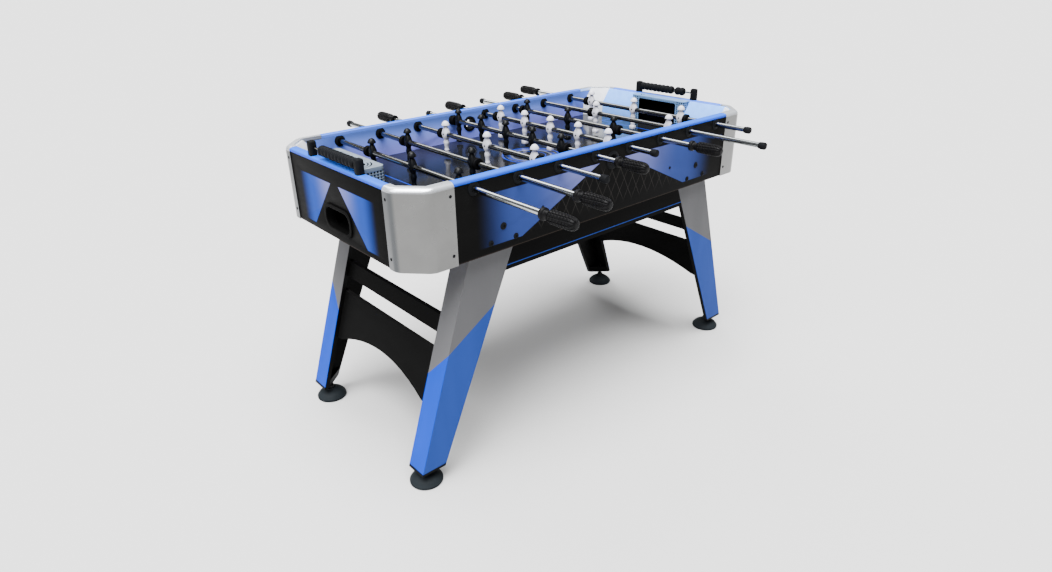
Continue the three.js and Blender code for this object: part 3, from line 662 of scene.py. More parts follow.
# (radius, distance from the board) on one side of it
BUSHING_FACE = mm((8.6, 4), (11, 4), (12.4, 3.2), (15.5, 2.6), (17.4, 2.2), (18, 1.2), (18, 0.1))
SERVING_FACE = mm((17, 2), (18, 3.4), (21, 4), (24, 3.4), (27, 1.6), (27, 0.1))


def side_panels():
    """Front and back boards, bored for the bushings and the serving hole."""
    outline = [(PANEL_LOW.x, PANEL_BOTTOM), (PANEL_HIGH.x, PANEL_BOTTOM),
               (PANEL_HIGH.x, PANEL_TOP), (PANEL_LOW.x, PANEL_TOP)]
    holes = [circle((x, ROD_Z), BUSHING_HOLE) for x in ROD_X] + [circle(SERVE, SERVE_RADIUS + 3 * MM)]
    middle = (INNER_Y + OUTER_Y) / 2
    for name, sy in (("panel_front", -1), ("panel_back", 1)):
        bm = plate(outline, holes, OUTER_Y - INNER_Y, 0.6 * MM)
        stand(bm, X, Z, -Y, (0, middle, 0))
        piece(f"{name}_board", mirrored(bm, 1, sy), SIDE_PRINT, "cabinet", "printed_panel", (name,))
        for number, x in enumerate(ROD_X, 1):
            bushing(f"{name}_bushing_{number}", x, sy)
        serving_ring(f"{name}_serving_ring", sy)
        board_bolts(name, sy)


def bushing(name, x, sy):
    """A bearing through the board: a wide flange and a stepped nose on both faces."""
    through_board(name, BUSHING_FACE, BUSHING_HOLE - 0.3 * MM, (x, 0, ROD_Z), 36, sy)


def through_board(name, face, sleeve, centre, segments, sy):
    """A turned ring in a side panel, with the same face inside and outside the board."""
    profile = [(r, OUTER_Y + d) for r, d in face] + [(sleeve, OUTER_Y + PROUD), (sleeve, INNER_Y - PROUD)]
    profile += [(r, INNER_Y - d) for r, d in reversed(face)]
    bm = bmesh.new()
    revolve(bm, profile, centre, "Y", segments, closed=True)
    trim_above(bm, PANEL_TOP)
    piece(name, mirrored(bm, 1, sy), BLACK, *BLACK_PLASTIC)


def trim_above(bm, height):
    """Cuts a mesh off flat at a height and closes it."""
    everything = bm.verts[:] + bm.edges[:] + bm.faces[:]
    cut = bmesh.ops.bisect_plane(bm, geom=everything, plane_co=Z * height, plane_no=Z, clear_outer=True)
    edges = [g for g in cut["geom_cut"] if isinstance(g, bmesh.types.BMEdge)]
    if edges:
        bmesh.ops.holes_fill(bm, edges=edges)


def serving_ring(name, sy):
    through_board(name, SERVING_FACE, SERVE_RADIUS + 2.8 * MM, (SERVE[0], 0, SERVE[1]), 48, sy)


def bolt_head(bm, centre, along, radius, rise):
    """A domed head with a socket, standing off along an axis."""
    profile = [(0, rise * 0.35), (radius * 0.34, rise * 0.35), (radius * 0.36, rise * 0.96),
               (radius * 0.6, rise * 0.9), (radius * 0.88, rise * 0.6), (radius, rise * 0.2),
               (radius, 0), (0, 0)]
    revolve(bm, profile, centre, along, 24)


# distance from the middle of the table, height and radius of the bolts, in mm
BOARD_BOLTS = ((420.5, 739, 10.4), (464, 701, 8.6), (378, 700, 8.6), (279, 757.5, 4.8))


def board_bolts(panel, sy):
    bm = bmesh.new()
    for x, z, radius in BOARD_BOLTS:
        for sx in (-1, 1):
            centre = (sx * x * MM, OUTER_Y + PROUD, z * MM)
            bolt_head(bm, centre, "Y", radius * MM, min(radius * 0.45, 3.2) * MM)
    piece(f"{panel}_bolts", mirrored(bm, 1, sy), BLACK, *BLACK_PLASTIC)


RETURN_HALF_WIDTH = 65 * MM
RETURN_HALF_HEIGHT = 29 * MM
RETURN_Z = 733 * MM


def end_panels():
    outline = [(END_LOW.y, END_LOW.z), (END_HIGH.y, END_LOW.z),
               (END_HIGH.y, END_HIGH.z), (END_LOW.y, END_HIGH.z)]
    hole = return_outline(4 * MM, 27 * MM)
    middle = (INNER_X + OUTER_X) / 2
    for name, sx in ENDS:
        bm = plate(outline, [hole], OUTER_X - INNER_X, 0.6 * MM)
        stand(bm, Y, Z, X, (middle, 0, 0))
        piece(f"panel_{name}_end_board", mirrored(bm, sx, 1), END_PRINT, "cabinet", "printed_panel",
              (f"panel_{name}_end",))
        ball_return(name, sx)


def return_outline(margin, radius):
    return rounded_rectangle(RETURN_HALF_WIDTH + margin, RETURN_HALF_HEIGHT + margin, radius, (0, RETURN_Z))


def ball_return(name, sx):
    """The flanged mouth, its sleeve through the board, and the tray that catches the ball."""
    node = f"ball_return_{name}"
    low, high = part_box(node)
    inner = return_outline(0, 24 * MM)
    bm = plate(return_outline(11 * MM, 33 * MM), [inner], 3.6 * MM, 1.4 * MM, 3)
    stand(bm, Y, Z, X, (OUTER_X + 2.1 * MM, 0, 0))
    piece(f"{node}_flange", mirrored(bm, sx, 1), RETURN_BLACK, *BLACK_PLASTIC, (node,))
    bm = plate(return_outline(3.4 * MM, 26 * MM), [inner], OUTER_X - INNER_X - MM, 0.3 * MM)
    stand(bm, Y, Z, X, ((INNER_X + OUTER_X) / 2, 0, 0))
    piece(f"{node}_sleeve", mirrored(bm, sx, 1), RETURN_BLACK, *BLACK_PLASTIC)
    inside, outside, half, floor = INNER_X - 62 * MM, INNER_X - GAP, 90 * MM, low.z + 7 * MM
    wall, edge = 3 * MM, 0.8 * MM
    bm = bmesh.new()
    round_box(bm, (inside, -half, floor), (outside, half, floor + wall), edge)
    round_box(bm, (inside, -half, floor + wall), (inside + wall, half, high.z), edge)
    for y in (-half, half - wall):
        round_box(bm, (inside + wall, y, floor + wall), (outside, y + wall, high.z), edge)
    piece(f"{node}_tray", mirrored(bm, sx, 1), RETURN_BLACK, *BLACK_PLASTIC)


# ---------- corner covers ----------
CUT_X, CUT_Y = 64 * MM, 68 * MM       # how far the slanted face runs along the side and the end
DIAGONAL_X = OUTER_X - CUT_X - 10 * MM + GAP
DIAGONAL_Y = OUTER_Y - CUT_Y - 10 * MM + GAP
COVER_ROUND = 13 * MM
COVER_BEND = 17 * MM                  # length that each vertical bend takes up
BEND_STEPS = 8
COVER_END_Y = OUTER_Y - 101 * MM      # where a cover stops on the end panel


def cover_path(inset):
    """The outer outline of a cover, pulled in by inset, with rounded bends."""
    x, y = COVER_HIGH.x - inset, COVER_HIGH.y - inset
    give = inset * 0.5
    side_end = Vector((COVER_LOW.x, y))
    side_bend = Vector((OUTER_X - CUT_X - give, y))
    end_bend = Vector((x, OUTER_Y - CUT_Y - give))
    end_end = Vector((x, COVER_END_Y))
    points = [end_end]
    for corner, before, after in ((end_bend, end_end, side_bend), (side_bend, end_bend, side_end)):
        start = corner + (before - corner).normalized() * COVER_BEND
        stop = corner + (after - corner).normalized() * COVER_BEND
        for i in range(BEND_STEPS + 1):
            t = i / BEND_STEPS
            points.append(start * (1 - t) ** 2 + corner * 2 * t * (1 - t) + stop * t * t)
    return points + [side_end]


def corner_cover():
    """A moulded corner with a flange over each panel and a band over the rail ends."""
    inner = [Vector((COVER_LOW.x, INNER_Y)), Vector((DIAGONAL_X, INNER_Y)), Vector((INNER_X, DIAGONAL_Y)),
             Vector((INNER_X, COVER_END_Y))]
    ease = 1.5 * MM
    levels = [(ease * 0.6, COVER_LOW.z), (0, COVER_LOW.z + ease)]
    for step in range(9):
        angle = step / 8 * math.pi / 2
        levels.append((COVER_ROUND * (1 - math.cos(angle)),
                       COVER_HIGH.z - COVER_ROUND + COVER_ROUND * math.sin(angle)))
    bm = bmesh.new()
    loft(bm, [[(p.x, p.y, z) for p in cover_path(inset) + inner] for inset, z in levels])
    return bm


def cut_out(obj, name, low, high):
    """Removes a box from a piece."""
    bm = bmesh.new()
    plain_box(bm, low, high)
    mesh = bpy.data.meshes.new(name)
    bm.to_mesh(mesh)
    bm.free()
    tool = bpy.data.objects.new(name, mesh)
    scene.collection.objects.link(tool)
    modifier = obj.modifiers.new(name, "BOOLEAN")
    modifier.object = tool
    modifier.operation = "DIFFERENCE"
    modifier.solver = "EXACT"
    return tool


def apply_modifiers(obj, tools):
    bpy.context.view_layer.update()
    mesh = bpy.data.meshes.new_from_object(obj.evaluated_get(bpy.context.evaluated_depsgraph_get()))
    obj.modifiers.clear()
    old = obj.data
    obj.data = mesh
    mesh.name = obj.name
    bpy.data.meshes.remove(old)
    for tool in tools:
        bpy.data.objects.remove(tool)


def corner_covers():
    for end, side, sx, sy in CORNERS:
        name = f"corner_cover_{end}_{side}"
        bm = mirrored(corner_cover(), sx, sy)
        shell = piece(f"{name}_shell", bm, SILVER, "cabinet", "silver_plastic", (name,))
        side_board = ((0, sx * DIAGONAL_X), (sy * (INNER_Y - 5 * MM), sy * (OUTER_Y + GAP)))
        end_board = ((sx * (INNER_X - 5 * MM), sx * (OUTER_X + GAP)), (0, sy * DIAGONAL_Y))
        tools = []
        for label, (x, y) in (("side_space", side_board), ("end_space", end_board)):
            low = (min(x), min(y), COVER_LOW.z - 10 * MM)
            high = (max(x), max(y), PANEL_TOP + GAP)
            tools.append(cut_out(shell, label, low, high))
        apply_modifiers(shell, tools)
        round_edges(shell, 0.8 * MM)
        corner_bank(name, sx, sy)
        cover_screws(name, sx, sy)


BANK_TOP = 884 * MM
BANK_KNEE = 830 * MM
BANK_DEPTH = 41 * MM
BANK_LIP = 3 * MM
BANK_END_Y = 277 * MM                 # where the end banks stop and the corner banks begin


def corner_bank(name, sx, sy):
    """The sloping filler in a corner of the field, upright to the knee and then leaning outward."""
    edge, side = INNER_X - GAP, INNER_Y - GAP
    foot = [Vector((edge - BANK_DEPTH - (side - BANK_END_Y), side)), Vector((edge - BANK_DEPTH, BANK_END_Y))]
    head = [Vector((DIAGONAL_X - BANK_LIP, side)), Vector((edge - BANK_LIP, BANK_END_Y))]
    back = [Vector((edge, BANK_END_Y)), Vector((edge, DIAGONAL_Y - GAP)), Vector((DIAGONAL_X - GAP, side))]
    loops = []
    for share, z in ((0, FIELD_Z + GAP), (0, BANK_KNEE - 4 * MM), (0.05, BANK_KNEE + 3 * MM), (1, BANK_TOP)):
        front = [a.lerp(b, share) for a, b in zip(foot, head)]
        loops.append([(p.x, p.y, z) for p in front + back])
    bm = bmesh.new()
    loft(bm, loops)
    # painted light: the silver filler is painted near-white
    piece(f"{name}_bank", mirrored(bm, sx, sy), BANK_PAINTED_LIGHT, "cabinet", "silver_plastic", bevel=0.8 * MM)


def cover_screws(name, sx, sy):
    bm = bmesh.new()
    radius, rise = 4.4 * MM, 1.1 * MM
    for z in (857 * MM, 701 * MM):
        bolt_head(bm, (585 * MM, COVER_HIGH.y - PROUD, z), "Y", radius, rise)
        bolt_head(bm, (COVER_HIGH.x - PROUD, 268 * MM, z), "X", radius, rise)
    piece(f"{name}_screws", mirrored(bm, sx, sy), BLACK, *BLACK_PLASTIC)


# ---------- goals and end banks ----------
GOAL_HALF = 125 * MM
GOAL_TOP = {"near": 896 * MM, "far": 886 * MM}
GOAL_FACE = {"near": 620 * MM, "far": 646 * MM}
GOAL_PAINT = {"near": GOAL_GREY, "far": GOAL_BLUE}
MOUTH_HALF = 89 * MM
MOUTH_TOP = 880 * MM
GOAL_ROUND = 14 * MM
MESH_PITCH = 9.4 * MM
MESH_RISE = 7.8 * MM
MESH_HOLE = 5.6 * MM
LID = 3.6 * MM
LID_SLOT = 3.6 * MM
SHEET = 2.2 * MM
LINER_INSET = 4.2 * MM
LINER_SHEET = 1.2 * MM


def end_banks(name, sx):
    """The sloping banks on both sides of the goal."""
    edge = INNER_X - GAP
    front, foot = edge - BANK_DEPTH, FIELD_Z + GAP
    section = [(edge, foot), (front, foot), (front, BANK_KNEE - 3 * MM),
               (front + 1.2 * MM, BANK_KNEE + 2 * MM), (edge - BANK_LIP, BANK_TOP), (edge, BANK_TOP)]
    bm = bmesh.new()
    for sy in (-1, 1):
        reach = (GOAL_HALF + GAP, BANK_END_Y - GAP)
        loft(bm, [[(x, sy * y, z) for x, z in section] for y in reach])
    piece(f"goal_end_{name}_banks", mirrored(bm, sx, 1), BENCH_BLUE, *GOAL_PLASTIC,
          (f"goal_end_{name}",), bevel=0.7 * MM)


def goal_wall_path(face, inset):
    """The hood's wall seen from above, from one end panel round the field side and back."""
    half = GOAL_HALF - inset
    front = face + inset
    bend = GOAL_ROUND - inset
    points = [(INNER_X - GAP, -half)]
    points += arc((front + bend, -half + bend), bend, 270, 180, 8)
    points += arc((front + bend, half - bend), bend, 180, 90, 8)
    return [Vector(p) for p in points + [(INNER_X - GAP, half)]]


def along_path(path, distance):
    for a, b in zip(path, path[1:]):
        step = (b - a).length
        if distance <= step:
            return a.lerp(b, distance / step)
        distance -= step
    return path[-1]


def hole_edges(start, end, pitch):
    """Both ends of a stretch, and the edges of the holes spread evenly between."""
    count = round((end - start) / pitch)
    edges = [start]
    for i in range(count):
        middle = start + (i + 0.5) * (end - start) / count
        edges += [middle - MESH_HOLE / 2, middle + MESH_HOLE / 2]
    return edges + [end]


def goal_hood(name, sx):
    """A thin moulded hood: pierced walls, an open mouth and a slotted top."""
    face = GOAL_FACE[name]
    path = goal_wall_path(face, SHEET / 2)
    total = sum((b - a).length for a, b in zip(path, path[1:]))
    across = hole_edges(0.0, total, MESH_PITCH)
    up = hole_edges(FIELD_Z + 2 * GAP, GOAL_TOP[name] - LID + 0.5 * MM, MESH_RISE)
    bm = bmesh.new()
    grid = [[bm.verts.new((*along_path(path, s), z)) for z in up] for s in across]
    pierced = len(up) - 3 if name == "near" else len(up)       # the near hood is plain below its lid
    for i in range(len(across) - 1):
        for j in range(len(up) - 1):
            hole = i % 2 == 1 and j % 2 == 1 and j < pierced
            middle = along_path(path, (across[i] + across[i + 1]) / 2)
            at_mouth = abs(middle.y) < MOUTH_HALF and middle.x < face + GOAL_ROUND
            if not hole and not (at_mouth and up[j + 1] < MOUTH_TOP + MM):
                bm.faces.new((grid[i][j], grid[i + 1][j], grid[i + 1][j + 1], grid[i][j + 1]))
    loose = [v for v in bm.verts if not v.link_faces]
    bmesh.ops.delete(bm, geom=loose, context="VERTS")
    walls = piece(f"goal_{name}_walls", mirrored(bm, sx, 1), GOAL_PAINT[name], *GOAL_PLASTIC,
                  crease=50)
    solid = walls.modifiers.new("sheet", "SOLIDIFY")
    solid.thickness = SHEET
    solid.offset = 0
    goal_top(name, sx, face)
    goal_rim(name, sx, face)
    goal_liner(name, sx, face)


def slot_loop(centre, radius, start, end):
    """A curved slot with square ends."""
    outer = arc(centre, radius + LID_SLOT / 2, start, end, 10)
    return outer + arc(centre, radius - LID_SLOT / 2, end, start, 10)


def goal_top(name, sx, face):
    """The hood's lid, with nested curved slots at both corners and straight ones between."""
    back = INNER_X - GAP
    bend_x, bend_y = face + GOAL_ROUND, GOAL_HALF - GOAL_ROUND
    outline = [(back, -GOAL_HALF)] + arc((bend_x, -bend_y), GOAL_ROUND, 270, 180, 8)
    outline += arc((bend_x, bend_y), GOAL_ROUND, 180, 90, 8) + [(back, GOAL_HALF)]
    holes = []
    depth = back - face
    for radius in (20 * MM, 29 * MM, 38 * MM, 47 * MM):
        if radius < depth - 6 * MM:
            for sy in (-1, 1):
                centre = (back - 5 * MM, sy * (GOAL_HALF - 58 * MM))
                start, end = (182, 262) if sy < 0 else (98, 178)
                holes.append(slot_loop(centre, radius, start, end))
    for i in range(-5, 6):
        low, high = i * 10 * MM - LID_SLOT / 2, i * 10 * MM + LID_SLOT / 2
        start, end = face + 12 * MM, back - 10 * MM
        holes.append([(start, low), (end, low), (end, high), (start, high)])
    bm = plate(outline, holes, LID, 1.5 * MM, 3)
    stand(bm, X, Y, Z, (0, 0, GOAL_TOP[name] - LID / 2))
    piece(f"goal_{name}_lid", mirrored(bm, sx, 1), GOAL_PAINT[name], *GOAL_PLASTIC, crease=50)


def goal_liner(name, sx, face):
    """Black sheet behind the pierced walls, under the lid and against the end panel, open at the mouth."""
    bottom, top = FIELD_Z + 2 * GAP, GOAL_TOP[name] - LID - 1.6 * MM
    outside = goal_wall_path(face, LINER_INSET)
    inside = goal_wall_path(face, LINER_INSET + LINER_SHEET)
    middle = len(outside) // 2
    bm = bmesh.new()
    for outer, inner in ((outside[:middle], inside[:middle]), (outside[middle:], inside[middle:])):
        loop = [(p.x, p.y) for p in outer] + [(p.x, p.y) for p in reversed(inner)]
        loft(bm, [[(a, b, z) for a, b in loop] for z in (bottom, top)])
    half = GOAL_HALF - LINER_INSET - LINER_SHEET
    front, back = face + LINER_INSET, INNER_X - 2 * GAP
    round_box(bm, (front, -half, top + GAP), (back, half, top + GAP + LINER_SHEET), 0.3 * MM)
    round_box(bm, (back - LINER_SHEET, -half + GAP, bottom), (back, half - GAP, top - GAP), 0.3 * MM)
    mouth_side = MOUTH_HALF + 2 * MM
    for sy in (-1, 1):
        low_y, high_y = sorted((sy * mouth_side, sy * (GOAL_HALF - GOAL_ROUND - MM)))
        round_box(bm, (front, low_y, bottom), (front + LINER_SHEET, high_y, top), 0.3 * MM)
    if top > MOUTH_TOP + 2 * MM:
        round_box(bm, (front, -mouth_side, MOUTH_TOP + MM), (front + LINER_SHEET, mouth_side, top), 0.3 * MM)
    piece(f"goal_{name}_liner", mirrored(bm, sx, 1), LINER, *GOAL_PLASTIC)


def goal_rim(name, sx, face):
    """A rim round the mouth, so that the opening reads as moulded."""
    middle = (MOUTH_TOP + FIELD_Z) / 2
    half = (MOUTH_TOP - FIELD_Z) / 2
    outer = rounded_rectangle(MOUTH_HALF + 3 * MM, half + 2 * MM, 9 * MM, (0, middle))
    outer = [(a, max(b, FIELD_Z + 2 * GAP)) for a, b in outer]
    inner = rounded_rectangle(MOUTH_HALF - MM, half - 2 * MM, 8 * MM, (0, middle - 3 * MM))
    inner = [(a, max(b, FIELD_Z + 1.2 * MM)) for a, b in inner]
    bm = plate(outer, [inner], 3.6 * MM, 0.8 * MM)
    stand(bm, Y, Z, X, (face + 1.9 * MM, 0, 0))
    piece(f"goal_{name}_rim", mirrored(bm, sx, 1), GOAL_PAINT[name], *GOAL_PLASTIC)


# ---------- rods ----------
TUBE_RADIUS = 7.95 * MM
TUBE_WALL = 1.5 * MM
HANDLE_ON_ROD = 84 * MM
CAP_WALL = 4 * MM
BUMPER_LENGTH = 14 * MM
BUMPER_FROM_PLAYER = 16.2 * MM
# outlines as (radius, distance along the rod)
END_CAP = mm((0, 0), (6, 0), (9.6, 1.2), (11, 4), (11, 15), (10.2, 16), (10.2, 20.5), (9.4, 22), (8.05, 22),
             (8.05, 3.6), (0, 3.6))
BUMPER = mm((8.1, 0.2), (14, 0), (15.7, 0.6), (16.5, 2), (16.5, 5.04), (14.5, 6.16), (14.5, 7.84),
            (16.5, 8.96), (16.5, 12), (15.7, 13.4), (14, 14), (8.1, 13.8))
PLAYER_SCREW = mm((0, -11.5), (2.6, -11.5), (3, -11.1), (3, 11.1), (2.6, 11.5), (0, 11.5))


def rod(index):
    """One rod with its tube, end cap, players, bumpers and handle."""
    number = index + 1
    x = ROD_X[index]
    body = f"rod_{number}"
    low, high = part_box(body)
    handle_low, handle_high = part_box(f"handle_{number}")
    side = -1 if handle_low.y < low.y else 1
    tip = high.y if side < 0 else low.y
    handle_start = handle_high.y if side < 0 else handle_low.y
    black = index in BLACK_TEAM
    slot = "black_players" if black else "white_players"

    far_end = handle_start + side * HANDLE_ON_ROD
    start, stop = sorted((tip + side * CAP_WALL, far_end))
    inside = TUBE_RADIUS - TUBE_WALL
    profile = [(inside, start), (TUBE_RADIUS, start), (TUBE_RADIUS, stop), (inside, stop)]
    bm = bmesh.new()
    revolve(bm, profile, (x, 0, ROD_Z), "Y", 40, closed=True)
    piece(f"{body}_tube", bm, CHROME, body, slot, (body,))

    bm = bmesh.new()
    revolve(bm, [(r, side * d) for r, d in END_CAP], (x, tip, ROD_Z), "Y", 36)
    piece(f"{body}_end_cap", bm, BLACK, body, slot)

    slide_low, slide_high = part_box(f"bumper_{number}")
    ring(f"bumper_{number}_ring", x, slide_low.y, f"slider_{number}", (f"bumper_{number}",))
    count = PLAYERS_ON_ROD[index]
    spacing = PLAYER_SPACING[count]
    if side < 0:
        first = slide_high.y + BUMPER_FROM_PLAYER
    else:
        first = slide_low.y - BUMPER_FROM_PLAYER
    places = [first - side * i * spacing for i in range(count)]
    other = places[-1] - side * BUMPER_FROM_PLAYER
    ring(f"{body}_ring", x, min(other, other - side * BUMPER_LENGTH), body, ())
    for i, y in enumerate(places, 1):
        player(f"{body}_player_{i}", x, y, body, slot, BLACK_PLAYER if black else WHITE_PLAYER)
    handle(number, x, handle_start, side)


def ring(name, x, y, body, replaces):
    """A rubber bumper: a thick washer with a waist round its middle."""
    bm = bmesh.new()
    revolve(bm, BUMPER, (x, y, ROD_Z), "Y", 40, closed=True)
    piece(name, bm, RUBBER, body, "rubber", replaces)


# Height above the rod's axis, half width along the rod and half depth, in mm, and how square the section is
FIGURE = (
    (-71.5, 9.6, 8.2, 0.8), (-70.3, 10.5, 9.0, 0.8), (-61.5, 10.4, 8.9, 0.8), (-59.6, 9.6, 8.2, 0.7),
    (-58.0, 7.4, 6.6, 0.3), (-53.0, 7.2, 6.4, 0.0), (-51.5, 8.3, 7.4, 0.0), (-49.5, 8.3, 7.4, 0.0),
    (-48.0, 7.0, 6.4, 0.0), (-42.0, 7.2, 6.6, 0.0), (-34.0, 8.6, 7.8, 0.0), (-29.0, 10.4, 8.8, 0.0),
    (-25.0, 10.2, 8.8, 0.0), (-19.0, 8.0, 7.4, 0.0), (-15.5, 7.6, 7.6, 0.0), (-12.5, 9.6, 9.6, 0.1),
    (-7.0, 13.6, 10.8, 0.25), (-1.0, 15.5, 11.0, 0.35), (4.0, 15.4, 11.0, 0.35), (10.0, 13.6, 10.2, 0.2),
    (15.0, 11.6, 9.0, 0.1), (20.0, 9.4, 7.8, 0.0), (23.0, 7.2, 6.6, 0.0), (26.0, 6.3, 6.3, 0.0),
    (27.6, 6.6, 6.6, 0.0), (28.4, 11.6, 11.6, 0.0), (29.2, 12.9, 12.9, 0.0), (31.0, 12.8, 12.8, 0.0),
    (34.0, 11.6, 11.6, 0.0), (37.5, 9.6, 9.6, 0.0), (40.0, 7.6, 7.6, 0.0), (41.8, 5.2, 5.2, 0.0),
    (43.0, 1.8, 1.8, 0.0),
)


FIGURE_SIDES = 28


def player(name, x, y, body, slot, material):
    """A moulded figure clamped on the rod: foot, legs, barrel chest, neck and domed hat."""
    loops = []
    for height, width, depth, square in FIGURE:
        loop = []
        for i in range(FIGURE_SIDES):
            angle = 2 * math.pi * i / FIGURE_SIDES
            c, s = math.cos(angle), math.sin(angle)
            stretch = 1 + square * (1 / max(abs(c), abs(s)) - 1)
            out_x = depth * MM * min(1, stretch * abs(c)) * math.copysign(1, c)
            out_y = width * MM * min(1, stretch * abs(s)) * math.copysign(1, s)
            loop.append((x + out_x, y + out_y, ROD_Z + height * MM))
        loops.append(loop)
    bm = bmesh.new()
    loft(bm, loops)
    piece(name, bm, material, body, slot, crease=60)
    clamp = bmesh.new()
    revolve(clamp, PLAYER_SCREW, (x, y, ROD_Z + MM), "X", 20)
    piece(f"{name}_screw", clamp, STEEL, body, slot)


# lengths in mm, the twist in radians over the whole grip
GRIP_START = 29
GRIP_END = 97
GRIP_ROWS = 7
GRIP_RIBS = 11
GRIP_TWIST = 0.25
BLOCK_HEIGHT = 2.5
RIB_SLOPE = 0.17                      # share of a rib's pitch that its sloping side takes
ROW_SLOPE = 0.16                      # the same for a row of blocks
GROOVE = 0.35                         # half a groove's flat bottom, as a share of that slope
GRIP_STEPS = 110
RIB_STEPS = 14
GRIP_COLLAR = mm((8.4, 0), (13.8, 0), (15, 0.8), (15.5, 2.2), (15.5, 7.8), (15, 9.2), (13.6, 10.4),
                 (11.8, 11.2), (11.1, 12.6), (11, 19), (11.1, 22))
# how far along the grip, radius at the bottom of the grooves
GRIP_SHAPE = ((24, 11.2), (29, 13.4), (36, 14.1), (86, 14.3), (97, 13.4), (102, 11.4), (105.5, 9),
              (107.6, 6))


def grip_radius(distance, angle):
    """The grip: raised blocks between ring grooves and slightly twisted lengthwise grooves."""
    base = GRIP_SHAPE[-1][1]
    for (d0, r0), (d1, r1) in zip(GRIP_SHAPE, GRIP_SHAPE[1:]):
        if d0 <= distance <= d1:
            base = r0 + (r1 - r0) * (distance - d0) / (d1 - d0)
    share = (distance - GRIP_START) / (GRIP_END - GRIP_START)
    rib = ((angle + GRIP_TWIST * share) / (2 * math.pi) * GRIP_RIBS) % 1
    height = min(rib, 1 - rib) / RIB_SLOPE - GROOVE
    if 0 <= share <= 1:
        row = (share * GRIP_ROWS) % 1
        height = min(height, min(row, 1 - row) / ROW_SLOPE - GROOVE)
    fade = min(1.0, (distance - GRIP_SHAPE[0][0]) / 5)
    return (base + BLOCK_HEIGHT * fade * math.sqrt(max(0.0, min(1.0, height)))) * MM


def handle(number, x, start, side):
    """A grip with a thin collar, a neck and rows of raised blocks, pushed over the rod's end."""
    segments = GRIP_RIBS * RIB_STEPS
    rings = [[pair] * segments for pair in GRIP_COLLAR]
    first, last = GRIP_SHAPE[0][0], GRIP_SHAPE[-1][0]
    for i in range(GRIP_STEPS + 1):
        d = first + (last - first) * i / GRIP_STEPS
        rings.append([(grip_radius(d, 2 * math.pi * j / segments), d * MM) for j in range(segments)])
    low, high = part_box(f"handle_{number}")
    rings.append([(4 * MM, high.y - low.y - 0.1 * MM)] * segments)
    angles = [2 * math.pi * j / segments for j in range(segments)]
    loops = []
    for ring_points in rings:
        loops.append([(x + r * math.cos(a), start + side * d, ROD_Z + r * math.sin(a))
                      for (r, d), a in zip(ring_points, angles)])
    bm = bmesh.new()
    loft(bm, loops)
    piece(f"handle_{number}_grip", bm, GRIP, f"rod_{number}", "black_grip", (f"handle_{number}",), crease=60)


# ---------- legs and frame ----------
def legs():
    for end, side, sx, sy in CORNERS:
        keep(f"leg_{end}_{side}", LEG, 1.0 * MM)
        leveller(f"leveller_{end}_{side}")
    for end in ("near", "far"):
        keep(f"stretcher_{end}", BOARD, 0.8 * MM)
        keep(f"arch_panel_{end}", BOARD, 0.8 * MM)
    keep("apron_front", APRON, 0.8 * MM)
    keep("apron_back", APRON, 0.8 * MM)


PAD_HEIGHT = 35 * MM
PAD_DOME = mm((44, 15), (39, 20), (31, 25.5), (22, 29.5), (18, 31), (17, 34), (15, 35))
NUT = mm((5, 35), (10.5, 35), (11.5, 36), (11.5, 43), (10.5, 44), (5, 44))
THREAD_PITCH = 1.5 * MM


def leveller(name):
    """A domed rubber pad, a hexagonal nut and a threaded stud."""
    low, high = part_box(name)
    centre = ((low.x + high.x) / 2, (low.y + high.y) / 2, low.z)
    radius = (high.x - low.x) / 2
    pad = [(0, 0), (radius - 4 * MM, 0), (radius - 1.2 * MM, 0.8 * MM), (radius, 3 * MM), (radius, 7.5 * MM),
           (radius - MM, 9.6 * MM), (radius - 3 * MM, 11.4 * MM), *PAD_DOME, (5.2 * MM, PAD_HEIGHT),
           (0, PAD_HEIGHT)]
    bm = bmesh.new()
    revolve(bm, pad, centre, "Z", 56)
    piece(f"{name}_pad", bm, PAD_RUBBER, name, "rubber", (name,), crease=50)
    bm = bmesh.new()
    revolve(bm, NUT, centre, "Z", 6, closed=True)
    piece(f"{name}_nut", bm, STEEL, name, "rubber", crease=20)
    thread = [(0, 34 * MM)]
    first = PAD_HEIGHT + MM
    for turn in range(int((high.z - low.z - first) / THREAD_PITCH)):
        z = first + turn * THREAD_PITCH
        thread += [(4.3 * MM, z), (5 * MM, z + THREAD_PITCH / 2)]
    thread += [(4.3 * MM, high.z - low.z - MM), (0, high.z - low.z)]
    bm = bmesh.new()
    revolve(bm, thread, centre, "Z", 20)
    piece(f"{name}_stud", bm, STEEL, name, "rubber")


# ---------- scorers ----------
SCORER_Z = 912 * MM                   # height of the rod that the beads slide on
POST = 24 * MM
BEAD_PITCH = 19 * MM
BEAD = mm((3.2, 0.2), (11, 0.2), (11.8, 1), (14, 4.4), (14.8, 7), (14.8, 12), (14, 14.6), (11.8, 18),
          (11, 18.8), (3.2, 18.8))


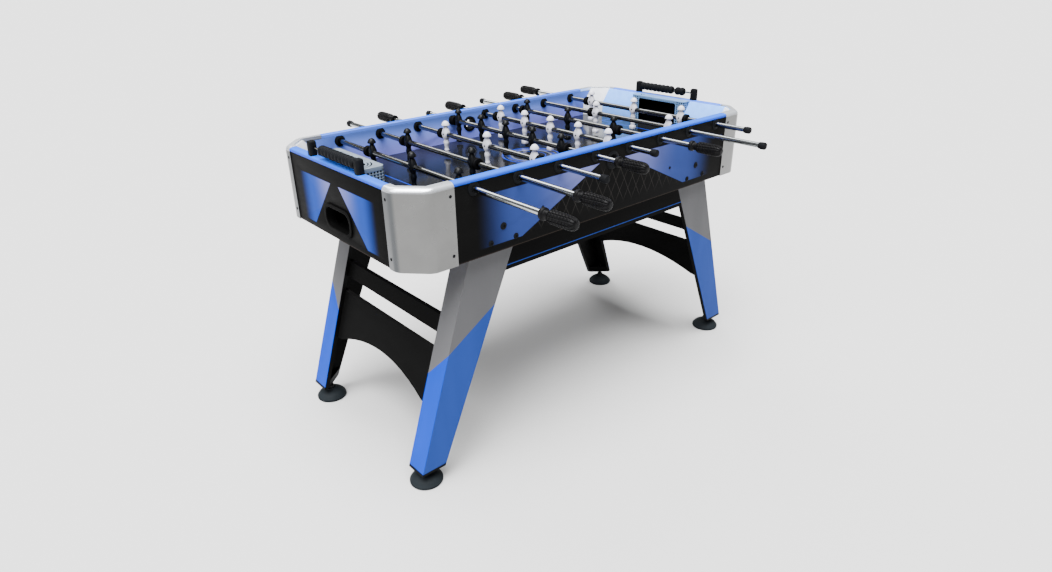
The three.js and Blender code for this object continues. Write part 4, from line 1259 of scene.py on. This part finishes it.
def scorers():
    for end, sx in ENDS:
        node = f"score_rack_{end}"
        low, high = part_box(node)
        x = (low.x + high.x) / 2
        for label, y0, y1 in (("front", low.y, low.y + POST), ("back", high.y - POST, high.y)):
            bm = bmesh.new()
            middle = (x, (y0 + y1) / 2)
            half_x, half_y = (high.x - low.x) / 2, (y1 - y0) / 2
            tall = high.z - low.z
            levels = [(0.6 * MM, 0), (0, 0.8 * MM), (0, tall - 5 * MM), (0.5 * MM, tall - 2.6 * MM),
                      (1.8 * MM, tall - 0.8 * MM), (3.6 * MM, tall)]
            outline = [rounded_rectangle(half_x - inset, half_y - inset, 7 * MM - inset, middle, 6)
                       for inset, _ in levels]
            loft(bm, [[(a, b, low.z + rise) for a, b in loop] for loop, (_, rise) in zip(outline, levels)])
            piece(f"{node}_post_{label}", bm, BLACK, *BLACK_PLASTIC,
                  (node,) if label == "front" else ())
        bm = bmesh.new()
        start, stop, radius = low.y + POST - 2 * MM, high.y - POST + 2 * MM, 3 * MM
        revolve(bm, [(0, start), (radius, start), (radius, stop), (0, stop)], (x, 0, SCORER_Z), "Y", 24)
        piece(f"{node}_rod", bm, CHROME, *BLACK_PLASTIC)
    for node in ("score_beads_near", "score_beads_far_a", "score_beads_far_b"):
        beads(node)


def beads(node):
    """Counting beads: turned discs strung on the scorer's rod."""
    low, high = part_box(node)
    x = (low.x + high.x) / 2
    count = round((high.y - low.y) / BEAD_PITCH)
    for i in range(count):
        bm = bmesh.new()
        profile = [(r, low.y + i * BEAD_PITCH + d) for r, d in BEAD]
        revolve(bm, profile, (x, 0, SCORER_Z), "Y", 36, closed=True)
        piece(f"{node}_{i + 1}", bm, BLACK, node, "black_plastic", (node,) if i == 0 else ())


studio()
side_panels()
end_panels()
rails()
corner_covers()
keep("playing_field", FIELD, 0.5 * MM)
for end_name, end_sign in ENDS:
    end_banks(end_name, end_sign)
    goal_hood(end_name, end_sign)
for rod_index in range(ROD_COUNT):
    rod(rod_index)
legs()
scorers()
